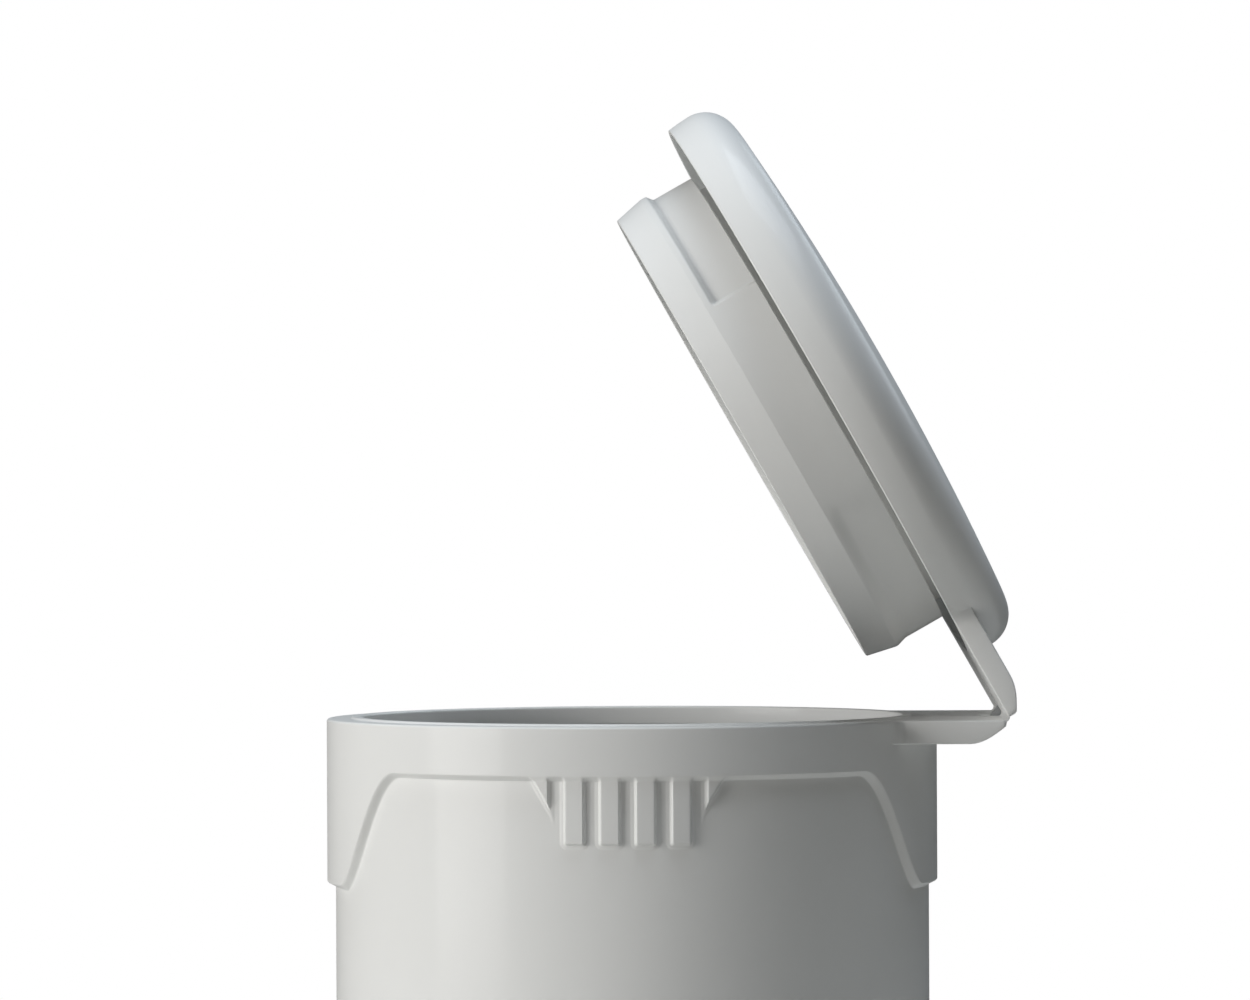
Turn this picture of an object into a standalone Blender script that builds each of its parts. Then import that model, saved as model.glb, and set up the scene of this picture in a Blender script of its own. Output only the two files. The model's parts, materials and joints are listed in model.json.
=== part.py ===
"""Pedal bin with a flip lid, built piece by piece.

Metres, +Z up. The origin is on the floor, on the axis of the round body. The lid's hinge is at +X and
the pedal at -X. The lid stands open and the pedal is pressed, which is the rest position here.

The pedal lever lifts the push rod behind the bucket, the rod turns the bell crank under the rim, and the
pull link draws on the crank under the lid's hinge tab.
"""

import math

import bmesh
import bpy

# Body
RIM_HEIGHT = 0.400
COLLAR_RADIUS = 0.1250
BODY_RADIUS = 0.1215
BODY_INNER_RADIUS = 0.1190
BODY_FOOT = 0.0123
BAND_DEPTH = 0.0203
LUG_DEPTH = 0.0692
LUG_STARTS = 48.5
LUG_ENDS = 70.5
STEP_HALF_HEIGHT = 0.0016
LIP_RADIUS = 0.1129
LIP_RISE = 0.0008
MOUTH_RADIUS = 0.1105
MOUTH_SKIRT = 0.0070
FLANGE_THICKNESS = 0.0026

# Ribs under the collar, on both sides
RIB_PITCH = 0.0143
RIB_HALF_FACE = 0.0033
RIB_HALF_BASE = 0.0050
RIB_END = 0.0460
GUSSET_NEAR = 0.0309
GUSSET_FAR = 0.0403
GUSSET_END = 0.0320
RELIEF_RADIUS = 0.1246
RELIEF_ROOT_RADIUS = BODY_INNER_RADIUS + 0.0012
RELIEF_TOP = RIM_HEIGHT - BAND_DEPTH + 0.004

# Hinge line, shelf of the body and tab of the lid
HINGE_X = 0.1520
HINGE_Z = RIM_HEIGHT + 0.0002
TAB_HALF_WIDTH = 0.0650
TAB_END = HINGE_X - 0.0011
SHELF_THICKNESS = 0.0094
TAB_THICKNESS = 0.0096
FILM_RADIUS = 0.0007
NOTCH_HALF_WIDTH = 0.0052
NOTCH_START = 0.1425
LINK_WAY_DEPTH = 0.0082
COVER_SEAT_START = 0.1262
COVER_SEAT_END = 0.1372
COVER_SCREW_X = 0.1318
REAR_ROOM_START = 0.1128
REAR_ROOM_END = 0.1226
LID_OPEN = 60.4

# Pedal slot in the wall
PEDAL_SLOT_HALF = 0.0125
PEDAL_SLOT_TOP = 0.0465

# Lid, from its own rim plane
LID_LIFT = 0.0002
LID_RIM_RADIUS = 0.1238
LID_WIDEST = 0.1246
LID_WALL = 0.0020
SHOULDER_RADIUS = 0.0140
SHOULDER_HEIGHT = 0.0101
SHOULDER_TURN = 84.0
DOME_RISE = 0.0051

# Plug ring under the lid
PLUG_CENTRE = 0.0006
PLUG_NECK_RADIUS = 0.1028
PLUG_HINGE_NECK_RADIUS = 0.1042
PLUG_BEAD_RADIUS = 0.1055
PLUG_INNER_RADIUS = 0.1003
PLUG_FLANGE_RADIUS = 0.0820
PLUG_TOP = 0.0205
PLUG_LEDGE = 0.0210
PLUG_DEPTH = 0.0366
PLUG_SCREW_RADIUS = 0.0920
NECK_FRONT_HALF = 61.0
NECK_HINGE_HALF = 64.0

# Bucket and its stand
BUCKET_FLOOR = 0.0466
BUCKET_FOOT_RADIUS = 0.0985
BUCKET_RADIUS = 0.1082
BUCKET_WALL = 0.0014
BUCKET_FLANGE_RADIUS = 0.1098
BUCKET_TOP = RIM_HEIGHT - 0.0105
STAND_RADIUS = 0.1140

# Base
FOOT_SPACING = 0.0960
BASE_SCREW_SPACING = 0.1100
BASE_PLATE_BOTTOM = 0.0053
BASE_PLATE_TOP = 0.0080
GAP = 0.0003

# Linkage: equal cranks on the lid and the bell crank keep the pull link level
CRANK_ARM = 0.0050
ROD_ARM = 0.0060
BELL_X = 0.1185
BELL_Z = RIM_HEIGHT - 0.0220
LINK_PIN_RADIUS = 0.0009
LINK_HOLE_RADIUS = 0.00115
EYE_RADIUS = 0.0019
LAYER_HALF = 0.00125
LINK_NEAR = -0.0016
LINK_FAR = -0.0040
ROD_NEAR = 0.0016
ROD_FAR = 0.0040
ROD_RADIUS = 0.0022
ROD_Y = 0.0028

# Pedal lever
PEDAL_PIVOT_X = 0.0670
PEDAL_PIVOT_Z = 0.0260
PEDAL_DOWN = 3.5
LEVER_HALF_WIDTH = 0.0090
LEVER_HALF_THICKNESS = 0.0025
LEVER_BACK = 0.0470
PAD_NEAR = -0.1940
PAD_TIP = -0.2230
PAD_HALF_WIDTH = 0.0310
PAD_CORNER = 0.0080
LEVER_HUB_RADIUS = 0.0062
BRACKET_FOOT = 0.0018
AXLE_RADIUS = 0.0030
AXLE_HOLE_RADIUS = 0.0033

ROUND = 48
HIDDEN_ROUND = 36
SMALL_ROUND = 12
GUIDE_Z = 0.2150
ROD_FOOT_LIFT = 0.0057
HALF_LID_TURN = math.radians(LID_OPEN / 2)


def clear_scene():
    for obj in list(bpy.data.objects):
        bpy.data.objects.remove(obj, do_unlink=True)


def look(name, colour, roughness, metallic=0.0):
    """A plain material of one finish."""
    made = bpy.data.materials.new(name)
    made.use_nodes = True
    shader = made.node_tree.nodes["Principled BSDF"]
    shader.inputs["Base Color"].default_value = (*colour, 1.0)
    shader.inputs["Roughness"].default_value = roughness
    shader.inputs["Metallic"].default_value = metallic
    return made


def white_plastic(name):
    return look(name, (0.80, 0.82, 0.83), 0.30)


def grey_plastic(name):
    return look(name, (0.22, 0.23, 0.24), 0.45)


def bucket_plastic(name):
    return look(name, (0.42, 0.44, 0.46), 0.42)


def zinc_steel(name):
    return look(name, (0.60, 0.61, 0.62), 0.32, 1.0)


def soft_rubber(name):
    return look(name, (0.05, 0.05, 0.05), 0.75)


def solid(name, bm, parent=None, location=(0.0, 0.0, 0.0)):
    """The object made from a closed bmesh."""
    bmesh.ops.recalc_face_normals(bm, faces=bm.faces)
    mesh = bpy.data.meshes.new(name)
    bm.to_mesh(mesh)
    bm.free()
    mesh.shade_smooth()
    mesh.set_sharp_from_angle(angle=math.radians(35))
    obj = bpy.data.objects.new(name, mesh)
    obj.parent = parent
    obj.location = location
    bpy.context.scene.collection.objects.link(obj)
    return obj


def pivot(name, location, turn=0.0):
    """An empty on a joint's axis, turned about +Y."""
    obj = bpy.data.objects.new(name, None)
    obj.location = location
    obj.rotation_euler = (0.0, math.radians(turn), 0.0)
    bpy.context.scene.collection.objects.link(obj)
    return obj


def turned(name, profile, segments=ROUND, **place):
    """A profile of (radius, height) points spun about Z."""
    bm = bmesh.new()
    points = [bm.verts.new((radius, 0.0, height)) for radius, height in profile]
    edges = [bm.edges.new(pair) for pair in zip(points, points[1:])]
    if profile[0][0] > 0:
        edges.append(bm.edges.new((points[-1], points[0])))
    bmesh.ops.spin(
        bm, geom=points + edges, cent=(0, 0, 0), axis=(0, 0, 1),
        angle=math.tau, steps=segments, use_merge=True,
    )
    bmesh.ops.remove_doubles(bm, verts=bm.verts, dist=1e-6)
    return solid(name, bm, **place)


def ring_of(name, angles, profile_at, **place):
    """A closed ring whose profile changes with the angle in degrees."""
    bm = bmesh.new()
    loops = []
    for angle in angles:
        across = math.cos(math.radians(angle))
        along = math.sin(math.radians(angle))
        loops.append([bm.verts.new((r * across, r * along, z)) for r, z in profile_at(angle)])
    count = len(loops[0])
    for here, there in zip(loops, loops[1:] + loops[:1]):
        for index in range(count):
            bm.faces.new((here[index - 1], here[index], there[index], there[index - 1]))
    return solid(name, bm, **place)


def extruded(name, outline, start, end, axis, **place):
    """An outline pushed along an axis: (x, z) along Y, (x, y) along Z, or (y, z) along X."""
    order = {
        "X": lambda u, v, w: (w, u, v),
        "Y": lambda u, v, w: (u, w, v),
        "Z": lambda u, v, w: (u, v, w),
    }[axis]
    bm = bmesh.new()
    near, far = ([bm.verts.new(order(u, v, w)) for u, v in outline] for w in (start, end))
    bm.faces.new(near)
    bm.faces.new(far)
    for index in range(len(outline)):
        bm.faces.new((near[index - 1], near[index], far[index], far[index - 1]))
    return solid(name, bm, **place)


def box(name, low, high, **place):
    outline = [(low[0], low[1]), (high[0], low[1]), (high[0], high[1]), (low[0], high[1])]
    return extruded(name, outline, low[2], high[2], "Z", **place)


def round_outline(centre, radius, count=SMALL_ROUND):
    steps = [math.tau * step / count for step in range(count)]
    return [(centre[0] + radius * math.cos(a), centre[1] + radius * math.sin(a)) for a in steps]


def hull_outline(*circles):
    """The outline of a band stretched round circles of (centre, radius)."""
    points = sorted({point for centre, radius in circles for point in round_outline(centre, radius)})
    halves = []
    for row in (points, points[::-1]):
        half = []
        for point in row:
            while len(half) > 1 and cross(half[-2], half[-1], point) <= 1e-12:
                half.pop()
            half.append(point)
        halves += half[:-1]
    return halves


def cross(a, b, c):
    return (b[0] - a[0]) * (c[1] - a[1]) - (b[1] - a[1]) * (c[0] - a[0])


def tool_from(obj, tool, operation):
    """Joins or cuts obj with a hidden tool."""
    tool.hide_render = True
    tool.display_type = "WIRE"
    step = obj.modifiers.new(tool.name, "BOOLEAN")
    step.object = tool
    step.operation = operation
    step.solver = "EXACT"


def cut(obj, *tools):
    for tool in tools:
        tool_from(obj, tool, "DIFFERENCE")


def add(obj, *tools):
    for tool in tools:
        tool_from(obj, tool, "UNION")


def dressed(obj, material):
    obj.data.materials.append(material)
    return obj


def smoothstep(value):
    value = min(1.0, max(0.0, value))
    return value * value * (3.0 - 2.0 * value)


def collar_edge(angle):
    """Height of the collar's lower edge: a shallow band at the sides, deep lugs at hinge and front."""
    from_side = abs(90.0 - abs(math.remainder(angle, 360.0)))
    share = smoothstep((from_side - LUG_STARTS) / (LUG_ENDS - LUG_STARTS))
    return RIM_HEIGHT - BAND_DEPTH - (LUG_DEPTH - BAND_DEPTH) * share


def body_profile(angle):
    edge = collar_edge(angle)
    return [
        (BODY_RADIUS, BODY_FOOT),
        (BODY_RADIUS, edge - STEP_HALF_HEIGHT),
        (COLLAR_RADIUS, edge + STEP_HALF_HEIGHT),
        (COLLAR_RADIUS, RIM_HEIGHT - 0.0012),
        (COLLAR_RADIUS - 0.0012, RIM_HEIGHT),
        (LIP_RADIUS + 0.0021, RIM_HEIGHT),
        (LIP_RADIUS + 0.0013, RIM_HEIGHT + 0.6 * LIP_RISE),
        (LIP_RADIUS, RIM_HEIGHT + LIP_RISE),
        (LIP_RADIUS - 0.0016, RIM_HEIGHT + 0.6 * LIP_RISE),
        (MOUTH_RADIUS, RIM_HEIGHT - 0.0004),
        (MOUTH_RADIUS, RIM_HEIGHT - MOUTH_SKIRT),
        (LIP_RADIUS - 0.0007, RIM_HEIGHT - MOUTH_SKIRT),
        (LIP_RADIUS - 0.0007, RIM_HEIGHT - FLANGE_THICKNESS),
        (BODY_INNER_RADIUS, RIM_HEIGHT - FLANGE_THICKNESS),
        (BODY_INNER_RADIUS, BODY_FOOT),
    ]


def body_angles():
    """Columns every 7.5 degrees, and every 3.75 degrees where the collar's edge slopes."""
    angles = []
    for step in range(2 * ROUND):
        angle = step * 180.0 / ROUND
        from_side = abs(90.0 - abs(math.remainder(angle, 360.0)))
        if step % 2 == 0 or LUG_STARTS < from_side < LUG_ENDS:
            angles.append(angle)
    return angles


def relief(name, side, centre, outline):
    """A raised form under the collar, drawn as (sideways, height, radius) rows round a solid."""
    bm = bmesh.new()
    rings = []
    for row in outline:
        ring = []
        for sideways, height, radius in row:
            angle = (centre + sideways) / COLLAR_RADIUS
            place = (radius * math.sin(angle), side * radius * math.cos(angle), height)
            ring.append(bm.verts.new(place))
        rings.append(ring)
    for ring in rings:
        bm.faces.new(ring)
    count = len(rings[0])
    for index in range(count):
        bm.faces.new((rings[0][index - 1], rings[0][index], rings[1][index], rings[1][index - 1]))
    return solid(name, bm)


def rib(name, side, centre):
    top = RELIEF_TOP
    end = RIM_HEIGHT - RIB_END
    inner = RELIEF_ROOT_RADIUS
    base = [
        (-RIB_HALF_BASE, top, inner), (RIB_HALF_BASE, top, inner),
        (RIB_HALF_BASE, end, inner), (-RIB_HALF_BASE, end, inner),
    ]
    face = [
        (-RIB_HALF_FACE, top, RELIEF_RADIUS), (RIB_HALF_FACE, top, RELIEF_RADIUS),
        (RIB_HALF_FACE, end + 0.0022, RELIEF_RADIUS), (-RIB_HALF_FACE, end + 0.0022, RELIEF_RADIUS),
    ]
    return relief(name, side, centre, (base, face))


def gusset(name, side, hand):
    """A three-cornered stiffener: upright beside the ribs, running out to nothing along the band."""
    top = RELIEF_TOP
    end = RIM_HEIGHT - GUSSET_END
    inner = RELIEF_ROOT_RADIUS
    near, far = hand * GUSSET_NEAR, hand * GUSSET_FAR
    base = [(near, top, inner), (far, top, inner), (near, end, inner)]
    lean = 0.0010
    face = [
        (hand * (GUSSET_NEAR + lean), top, RELIEF_RADIUS),
        (hand * (GUSSET_FAR - 2 * lean), top, RELIEF_RADIUS),
        (hand * (GUSSET_NEAR + lean), end + 2 * lean, RELIEF_RADIUS),
    ]
    return relief(name, side, 0.0, (base, face))


def shelf_tool():
    """The body's hinge shelf: level on top, its underside curving up to the hinge edge."""
    top = RIM_HEIGHT - 0.0001
    outline = [
        (0.100, top), (TAB_END, top), (TAB_END - 0.0004, RIM_HEIGHT - 0.0022),
        (TAB_END - 0.0030, RIM_HEIGHT - 0.0042), (TAB_END - 0.0078, RIM_HEIGHT - 0.0070),
        (TAB_END - 0.0149, RIM_HEIGHT - SHELF_THICKNESS), (0.100, RIM_HEIGHT - SHELF_THICKNESS),
    ]
    shelf = extruded("add_shelf", outline, -TAB_HALF_WIDTH, TAB_HALF_WIDTH, "Y")
    low, high = RIM_HEIGHT - 0.03, RIM_HEIGHT + 0.03
    wall = BODY_RADIUS + 0.0005
    cut(shelf, turned("cut_shelf_back", [(0, high), (wall, high), (wall, low), (0, low)]))
    return shelf


def body_shell():
    body = ring_of("body_shell", body_angles(), body_profile)
    add(body, shelf_tool())
    for side_name, side in (("near", -1), ("far", 1)):
        for index in range(4):
            add(body, rib(f"add_rib_{side_name}_{index}", side, (index - 1.5) * RIB_PITCH))
        for hand_name, hand in (("front", -1), ("back", 1)):
            add(body, gusset(f"add_gusset_{side_name}_{hand_name}", side, hand))
    rim = RIM_HEIGHT
    half = NOTCH_HALF_WIDTH
    roof = rim - 0.0016
    room = rim - 0.0160
    under = rim - 0.0120
    way = rim - LINK_WAY_DEPTH
    beyond = HINGE_X + 0.008
    cut(
        body,
        box("cut_crank_room", (REAR_ROOM_START, -0.0125, rim - 0.0310), (REAR_ROOM_END, 0.0125, room)),
        box("cut_link_riser", (REAR_ROOM_START, -half, room - 0.0010), (REAR_ROOM_END, half, roof)),
        box("cut_link_way", (REAR_ROOM_END - 0.0006, -half, way), (NOTCH_START + 0.0015, half, roof)),
        box("cut_notch_under", (COVER_SEAT_END - 0.0002, -half, under), (beyond, half, roof)),
        box("cut_notch", (NOTCH_START, -half, rim - 0.0020), (beyond, half, rim + 0.0020)),
        box("cut_cover_seat", (COVER_SEAT_START, -0.0098, under), (COVER_SEAT_END, 0.0098, under + 0.0041)),
        box("cut_pedal_slot", (-0.1300, -PEDAL_SLOT_HALF, 0.0), (-0.1100, PEDAL_SLOT_HALF, PEDAL_SLOT_TOP)),
    )
    for index, (y, z) in enumerate(bracket_screw_places()):
        cut(body, extruded(f"cut_bracket_screw_{index}", round_outline((y, z), 0.0013), 0.1150, 0.1230, "X"))
    for index, y in enumerate(cover_screw_places()):
        hole = round_outline((COVER_SCREW_X, y), 0.0011)
        cut(body, extruded(f"cut_cover_screw_{index}", hole, rim - 0.0085, rim - 0.0035, "Z"))
    for index, y in enumerate(guide_peg_places()):
        hole = round_outline((y, GUIDE_Z), 0.0016)
        cut(body, extruded(f"cut_guide_peg_{index}", hole, 0.1150, 0.1206, "X"))
    return dressed(body, white_plastic("body_white"))


def bracket_screw_places():
    return [(0.0170, BELL_Z - 0.0026), (0.0170, BELL_Z + 0.0026)]


def cover_screw_places():
    return [-0.0075, 0.0075]


def guide_peg_places():
    return [-0.0060, 0.0110]


def base_ring():
    profile = [
        (0.1080, 0.0030), (0.1236, 0.0030), (0.1236, 0.0188), (0.1230, 0.0200),
        (0.1222, 0.0200), (0.1222, 0.0120), (0.1162, 0.0120), (0.1162, 0.0050), (0.1080, 0.0050),
    ]
    ring = turned("base_ring", profile)
    cut(ring, box("cut_ring_slot", (-0.1300, -0.0130, 0.0095), (-0.1100, 0.0130, 0.0300)))
    for index, (x, y) in enumerate(corners(BASE_SCREW_SPACING)):
        cut(ring, extruded(f"cut_ring_screw_{index}", round_outline((x, y), 0.0018), 0.0, 0.0070, "Z"))
    return dressed(ring, grey_plastic("base_grey"))


def corners(radius):
    """Four places round the axis, halfway between the pedal and the sides."""
    reach = radius * math.sqrt(0.5)
    return [(reach, reach), (-reach, reach), (-reach, -reach), (reach, -reach)]


def base_plate():
    edge = 0.1157
    top, bottom = BASE_PLATE_TOP, BASE_PLATE_BOTTOM
    profile = [(0, top), (edge, top), (edge, bottom), (0, bottom)]
    plate = turned("base_plate", profile, HIDDEN_ROUND)
    holes = [(place, 0.0028) for place in corners(FOOT_SPACING)]
    holes += [(place, 0.0018) for place in corners(BASE_SCREW_SPACING)]
    holes += [(place, 0.0014) for place in axle_screw_places()]
    for index, (place, radius) in enumerate(holes):
        cut(plate, extruded(f"cut_plate_hole_{index}", round_outline(place, radius), 0.0, 0.0150, "Z"))
    return dressed(plate, grey_plastic("base_plate_grey"))


def axle_screw_places():
    return [(x, side * 0.0195) for x in (0.0595, 0.0745) for side in (1, -1)]


def feet():
    profile = [
        (0, 0.0096), (0.0024, 0.0096), (0.0034, 0.0084), (0.0025, 0.0083), (0.0025, 0.0050),
        (0.0100, 0.0050), (0.0092, 0.0), (0, 0.0),
    ]
    for index, (x, y) in enumerate(corners(FOOT_SPACING), 1):
        foot = turned(f"foot_{index}", profile, SMALL_ROUND, location=(x, y, 0.0))
        dressed(foot, soft_rubber(f"foot_rubber_{index}"))


def screw_profile(head_radius, head_height, shank_radius, length):
    """A pan-head screw with its head down, its seat at height 0 and its tip up."""
    return [
        (0, length), (shank_radius, length - shank_radius), (shank_radius, 0), (head_radius, 0),
        (head_radius * 0.8, -head_height), (0, -head_height),
    ]


def screw(name, profile, parent=None, location=(0, 0, 0), turn=(0, 0, 0)):
    made = turned(name, profile, 8, parent=parent, location=location)
    made.rotation_euler = turn
    return dressed(made, zinc_steel(name + "_steel"))


def base_screws():
    for index, (x, y) in enumerate(corners(BASE_SCREW_SPACING), 1):
        screw(f"base_screw_{index}", screw_profile(0.0030, 0.0018, 0.0015, 0.0090), location=(x, y, 0.0027))


def bucket_stand():
    top = BUCKET_FLOOR - GAP
    low = BASE_PLATE_TOP + GAP
    profile = [
        (0.0920, top), (STAND_RADIUS, top), (STAND_RADIUS, low), (0.1060, low),
        (0.1060, 0.0103), (0.1120, 0.0103), (0.1120, top - 0.0023), (0.0920, top - 0.0023),
    ]
    stand = turned("bucket_stand", profile, HIDDEN_ROUND)
    cut(
        stand,
        box("cut_stand_front", (-0.1250, -0.0140, 0.0), (-0.1000, 0.0140, 0.0439)),
        box("cut_stand_back", (0.1000, -0.0140, 0.0), (0.1250, 0.0140, 0.0439)),
        box("cut_stand_rod", (0.1060, -0.0070, 0.0400), (0.1250, 0.0070, 0.0600)),
    )
    for index, (x, y) in enumerate(corners(BASE_SCREW_SPACING)):
        cut(stand, extruded(f"cut_stand_screw_{index}", round_outline((x, y), 0.0018), 0.0, 0.0150, "Z"))
    return dressed(stand, grey_plastic("stand_grey"))


def inner_bucket():
    step = RIM_HEIGHT - 0.0460
    inner = BUCKET_RADIUS - BUCKET_WALL
    flange = BUCKET_FLANGE_RADIUS
    profile = [
        (0, BUCKET_FLOOR + 0.0018), (BUCKET_FOOT_RADIUS - BUCKET_WALL, BUCKET_FLOOR + 0.0018),
        (inner - 0.0012, step - 0.0040), (inner, step), (inner, BUCKET_TOP), (flange, BUCKET_TOP),
        (flange, BUCKET_TOP - 0.0020), (BUCKET_RADIUS, BUCKET_TOP - 0.0020),
        (BUCKET_RADIUS, step), (BUCKET_RADIUS - 0.0012, step - 0.0040), (BUCKET_FOOT_RADIUS, BUCKET_FLOOR),
        (0, BUCKET_FLOOR),
    ]
    return dressed(turned("inner_bucket", profile, HIDDEN_ROUND), bucket_plastic("bucket_grey"))


def lid_shoulder(radius, steps):
    """The round shoulder from the skirt to the dome, in so many straight steps."""
    centre = LID_WIDEST - SHOULDER_RADIUS
    turns = [math.radians(SHOULDER_TURN * step / steps) for step in range(steps + 1)]
    return [(centre + radius * math.cos(turn), SHOULDER_HEIGHT + radius * math.sin(turn)) for turn in turns]


def lid_outer():
    """The lid's outer side from rim to crown, as (radius, height)."""
    points = [(LID_RIM_RADIUS - 0.0004, 0.0), (LID_RIM_RADIUS, 0.0004)]
    points += lid_shoulder(SHOULDER_RADIUS, 5)
    edge, base = points[-1]
    for step in range(1, 4):
        radius = edge * (1 - step / 3)
        points.append((radius, base + DOME_RISE * (1 - (radius / edge) ** 2)))
    return points


def lid_inner():
    """The lid's inner side from crown to rim."""
    shoulder = lid_shoulder(SHOULDER_RADIUS - LID_WALL, 3)
    edge, base = shoulder[-1]
    dome = [(edge * (1 - step / 3), base + DOME_RISE * (1 - (1 - step / 3) ** 2)) for step in (3, 2, 1)]
    return dome + shoulder[::-1] + [(LID_RIM_RADIUS - LID_WALL, 0.0)]


def tab_tool(parent, location):
    """The lid's hinge tab: level underneath, its top rounding down to the hinge edge."""
    high = TAB_THICKNESS
    outline = [
        (0.100, 0.0), (TAB_END, 0.0), (TAB_END - 0.0006, 0.0025), (TAB_END - 0.0022, 0.0050),
        (TAB_END - 0.0054, 0.0078), (TAB_END - 0.0112, high), (0.100, high),
    ]
    tab = extruded("add_tab", outline, -TAB_HALF_WIDTH, TAB_HALF_WIDTH, "Y", parent=parent, location=location)
    hollow = [(0, 0.03), (0.1229, 0.03), (0.1229, -0.03), (0, -0.03)]
    cut(tab, turned("cut_tab_back", hollow, parent=parent, location=location))
    return tab


def crank_screw_places():
    """Places along X, from the hinge line."""
    return [-0.0080, -0.0130]


def lid_shell(parent, location):
    shell = turned("lid_shell", lid_outer()[::-1] + lid_inner()[::-1], parent=parent, location=location)
    add(shell, tab_tool(parent, location))
    place = {"parent": parent, "location": location}
    for index, (x, y) in enumerate(corners(PLUG_SCREW_RADIUS)):
        add(shell, extruded(f"add_boss_{index}", round_outline((x, y), 0.0045), 0.0208, 0.0245, "Z", **place))
        cut(shell, extruded(f"cut_boss_{index}", round_outline((x, y), 0.0014), 0.0190, 0.0236, "Z", **place))
    recess = box("cut_crank_seat", (-0.0163, -0.0043, -0.0020), (0.0020, 0.0043, 0.0032), parent=parent)
    cut(shell, recess)
    for index, x in enumerate(crank_screw_places()):
        hole = round_outline((x, 0.0), 0.0013)
        cut(shell, extruded(f"cut_crank_screw_{index}", hole, 0.0020, 0.0076, "Z", parent=parent))
    return dressed(shell, white_plastic("lid_white"))


def neck_radius(angle):
    """The plug's neck is waisted at the front and at the hinge, and full at the two sides."""
    turn = abs(math.remainder(angle, 360.0))
    if turn <= NECK_HINGE_HALF:
        return PLUG_HINGE_NECK_RADIUS
    return PLUG_NECK_RADIUS if turn >= 180.0 - NECK_FRONT_HALF else PLUG_BEAD_RADIUS


def plug_profile(angle):
    neck = neck_radius(angle)
    under = PLUG_TOP - 0.0025
    return [
        (PLUG_FLANGE_RADIUS, PLUG_TOP), (neck, PLUG_TOP), (neck, -PLUG_LEDGE + 0.0015),
        (PLUG_BEAD_RADIUS, -PLUG_LEDGE), (PLUG_BEAD_RADIUS, -PLUG_LEDGE - 0.0035),
        (PLUG_NECK_RADIUS, -PLUG_DEPTH), (PLUG_INNER_RADIUS, -PLUG_DEPTH), (PLUG_INNER_RADIUS, under),
        (PLUG_FLANGE_RADIUS, under),
    ]


def lid_plug(parent, location):
    ends = [NECK_HINGE_HALF, 180.0 - NECK_FRONT_HALF, 180.0 + NECK_FRONT_HALF, 360.0 - NECK_HINGE_HALF]
    angles = {step * 360.0 / ROUND for step in range(ROUND)}
    for end in ends:
        angles |= {end - 0.4, end + 0.4}
    place = {"parent": parent, "location": location}
    centre = (location[0] + PLUG_CENTRE, location[1], location[2])
    plug = ring_of("lid_plug", sorted(angles), plug_profile, parent=parent, location=centre)
    for index, (x, y) in enumerate(corners(PLUG_SCREW_RADIUS)):
        hole = round_outline((x, y), 0.0016)
        cut(plug, extruded(f"cut_plug_screw_{index}", hole, 0.0100, 0.0300, "Z", **place))
    return dressed(plug, white_plastic("plug_white"))


def plug_screws(parent, location):
    for index, (x, y) in enumerate(corners(PLUG_SCREW_RADIUS), 1):
        place = (location[0] + x, y, location[2] + PLUG_TOP - 0.0028)
        screw(f"plug_screw_{index}", screw_profile(0.0030, 0.0018, 0.0011, 0.0058), parent, place)


def hinge_films():
    for name, hand in (("left", -1), ("right", 1)):
        near, far = sorted((hand * (NOTCH_HALF_WIDTH + 0.0004), hand * (TAB_HALF_WIDTH - 0.0005)))
        bead = round_outline((HINGE_X, HINGE_Z), FILM_RADIUS)
        film = extruded(f"hinge_film_{name}", bead, near, far, "Y")
        dressed(film, white_plastic(f"film_white_{name}"))


def lid_crank(parent):
    """The crank under the lid's tab, in the lid's closed position from the hinge line."""
    arm = hull_outline(((0.0, -CRANK_ARM), EYE_RADIUS), ((-0.0030, 0.0012), 0.0016))
    crank = extruded("lid_crank", arm, -LAYER_HALF, LAYER_HALF, "Y", parent=parent)
    add(crank, box("add_crank_foot", (-0.0160, -0.0040, 0.0006), (-0.0018, 0.0040, 0.0027), parent=parent))
    pin_hole = round_outline((0.0, -CRANK_ARM), LINK_HOLE_RADIUS)
    cut(crank, extruded("cut_crank_pin", pin_hole, -0.01, 0.01, "Y", parent=parent))
    for index, x in enumerate(crank_screw_places()):
        hole = round_outline((x, 0.0), 0.0013)
        seat = round_outline((x, 0.0), 0.0023)
        cut(crank, extruded(f"cut_foot_hole_{index}", hole, -0.01, 0.01, "Z", parent=parent))
        cut(crank, extruded(f"cut_foot_seat_{index}", seat, -0.01, 0.0017, "Z", parent=parent))
        profile = screw_profile(0.0020, 0.0007, 0.0010, 0.0055)
        screw(f"crank_screw_{index + 1}", profile, parent, (x, 0.0, 0.0014))
    return dressed(crank, zinc_steel("lid_crank_steel"))


def pin(name, place, near, far, head, parent=None):
    """A headed pin along Y; the head lies beyond its far end."""
    made = extruded(name, round_outline(place, LINK_PIN_RADIUS, 12), near, far, "Y", parent=parent)
    overlap = math.copysign(0.0001, head)
    low, high = sorted((far - overlap, far + head))
    add(made, extruded(f"add_{name}_head", round_outline(place, 0.0017, 12), low, high, "Y", parent=parent))
    return dressed(made, zinc_steel(name + "_steel"))


def crank_pin_at(pivot_x, pivot_z):
    """Where the pull link's pin stands beside a crank's pivot with the lid open."""
    turn = math.radians(LID_OPEN)
    return (pivot_x - CRANK_ARM * math.sin(turn), pivot_z - CRANK_ARM * math.cos(turn))


def rod_pin_at():
    return (BELL_X - ROD_ARM * math.cos(HALF_LID_TURN), BELL_Z + ROD_ARM * math.sin(HALF_LID_TURN))


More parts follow.
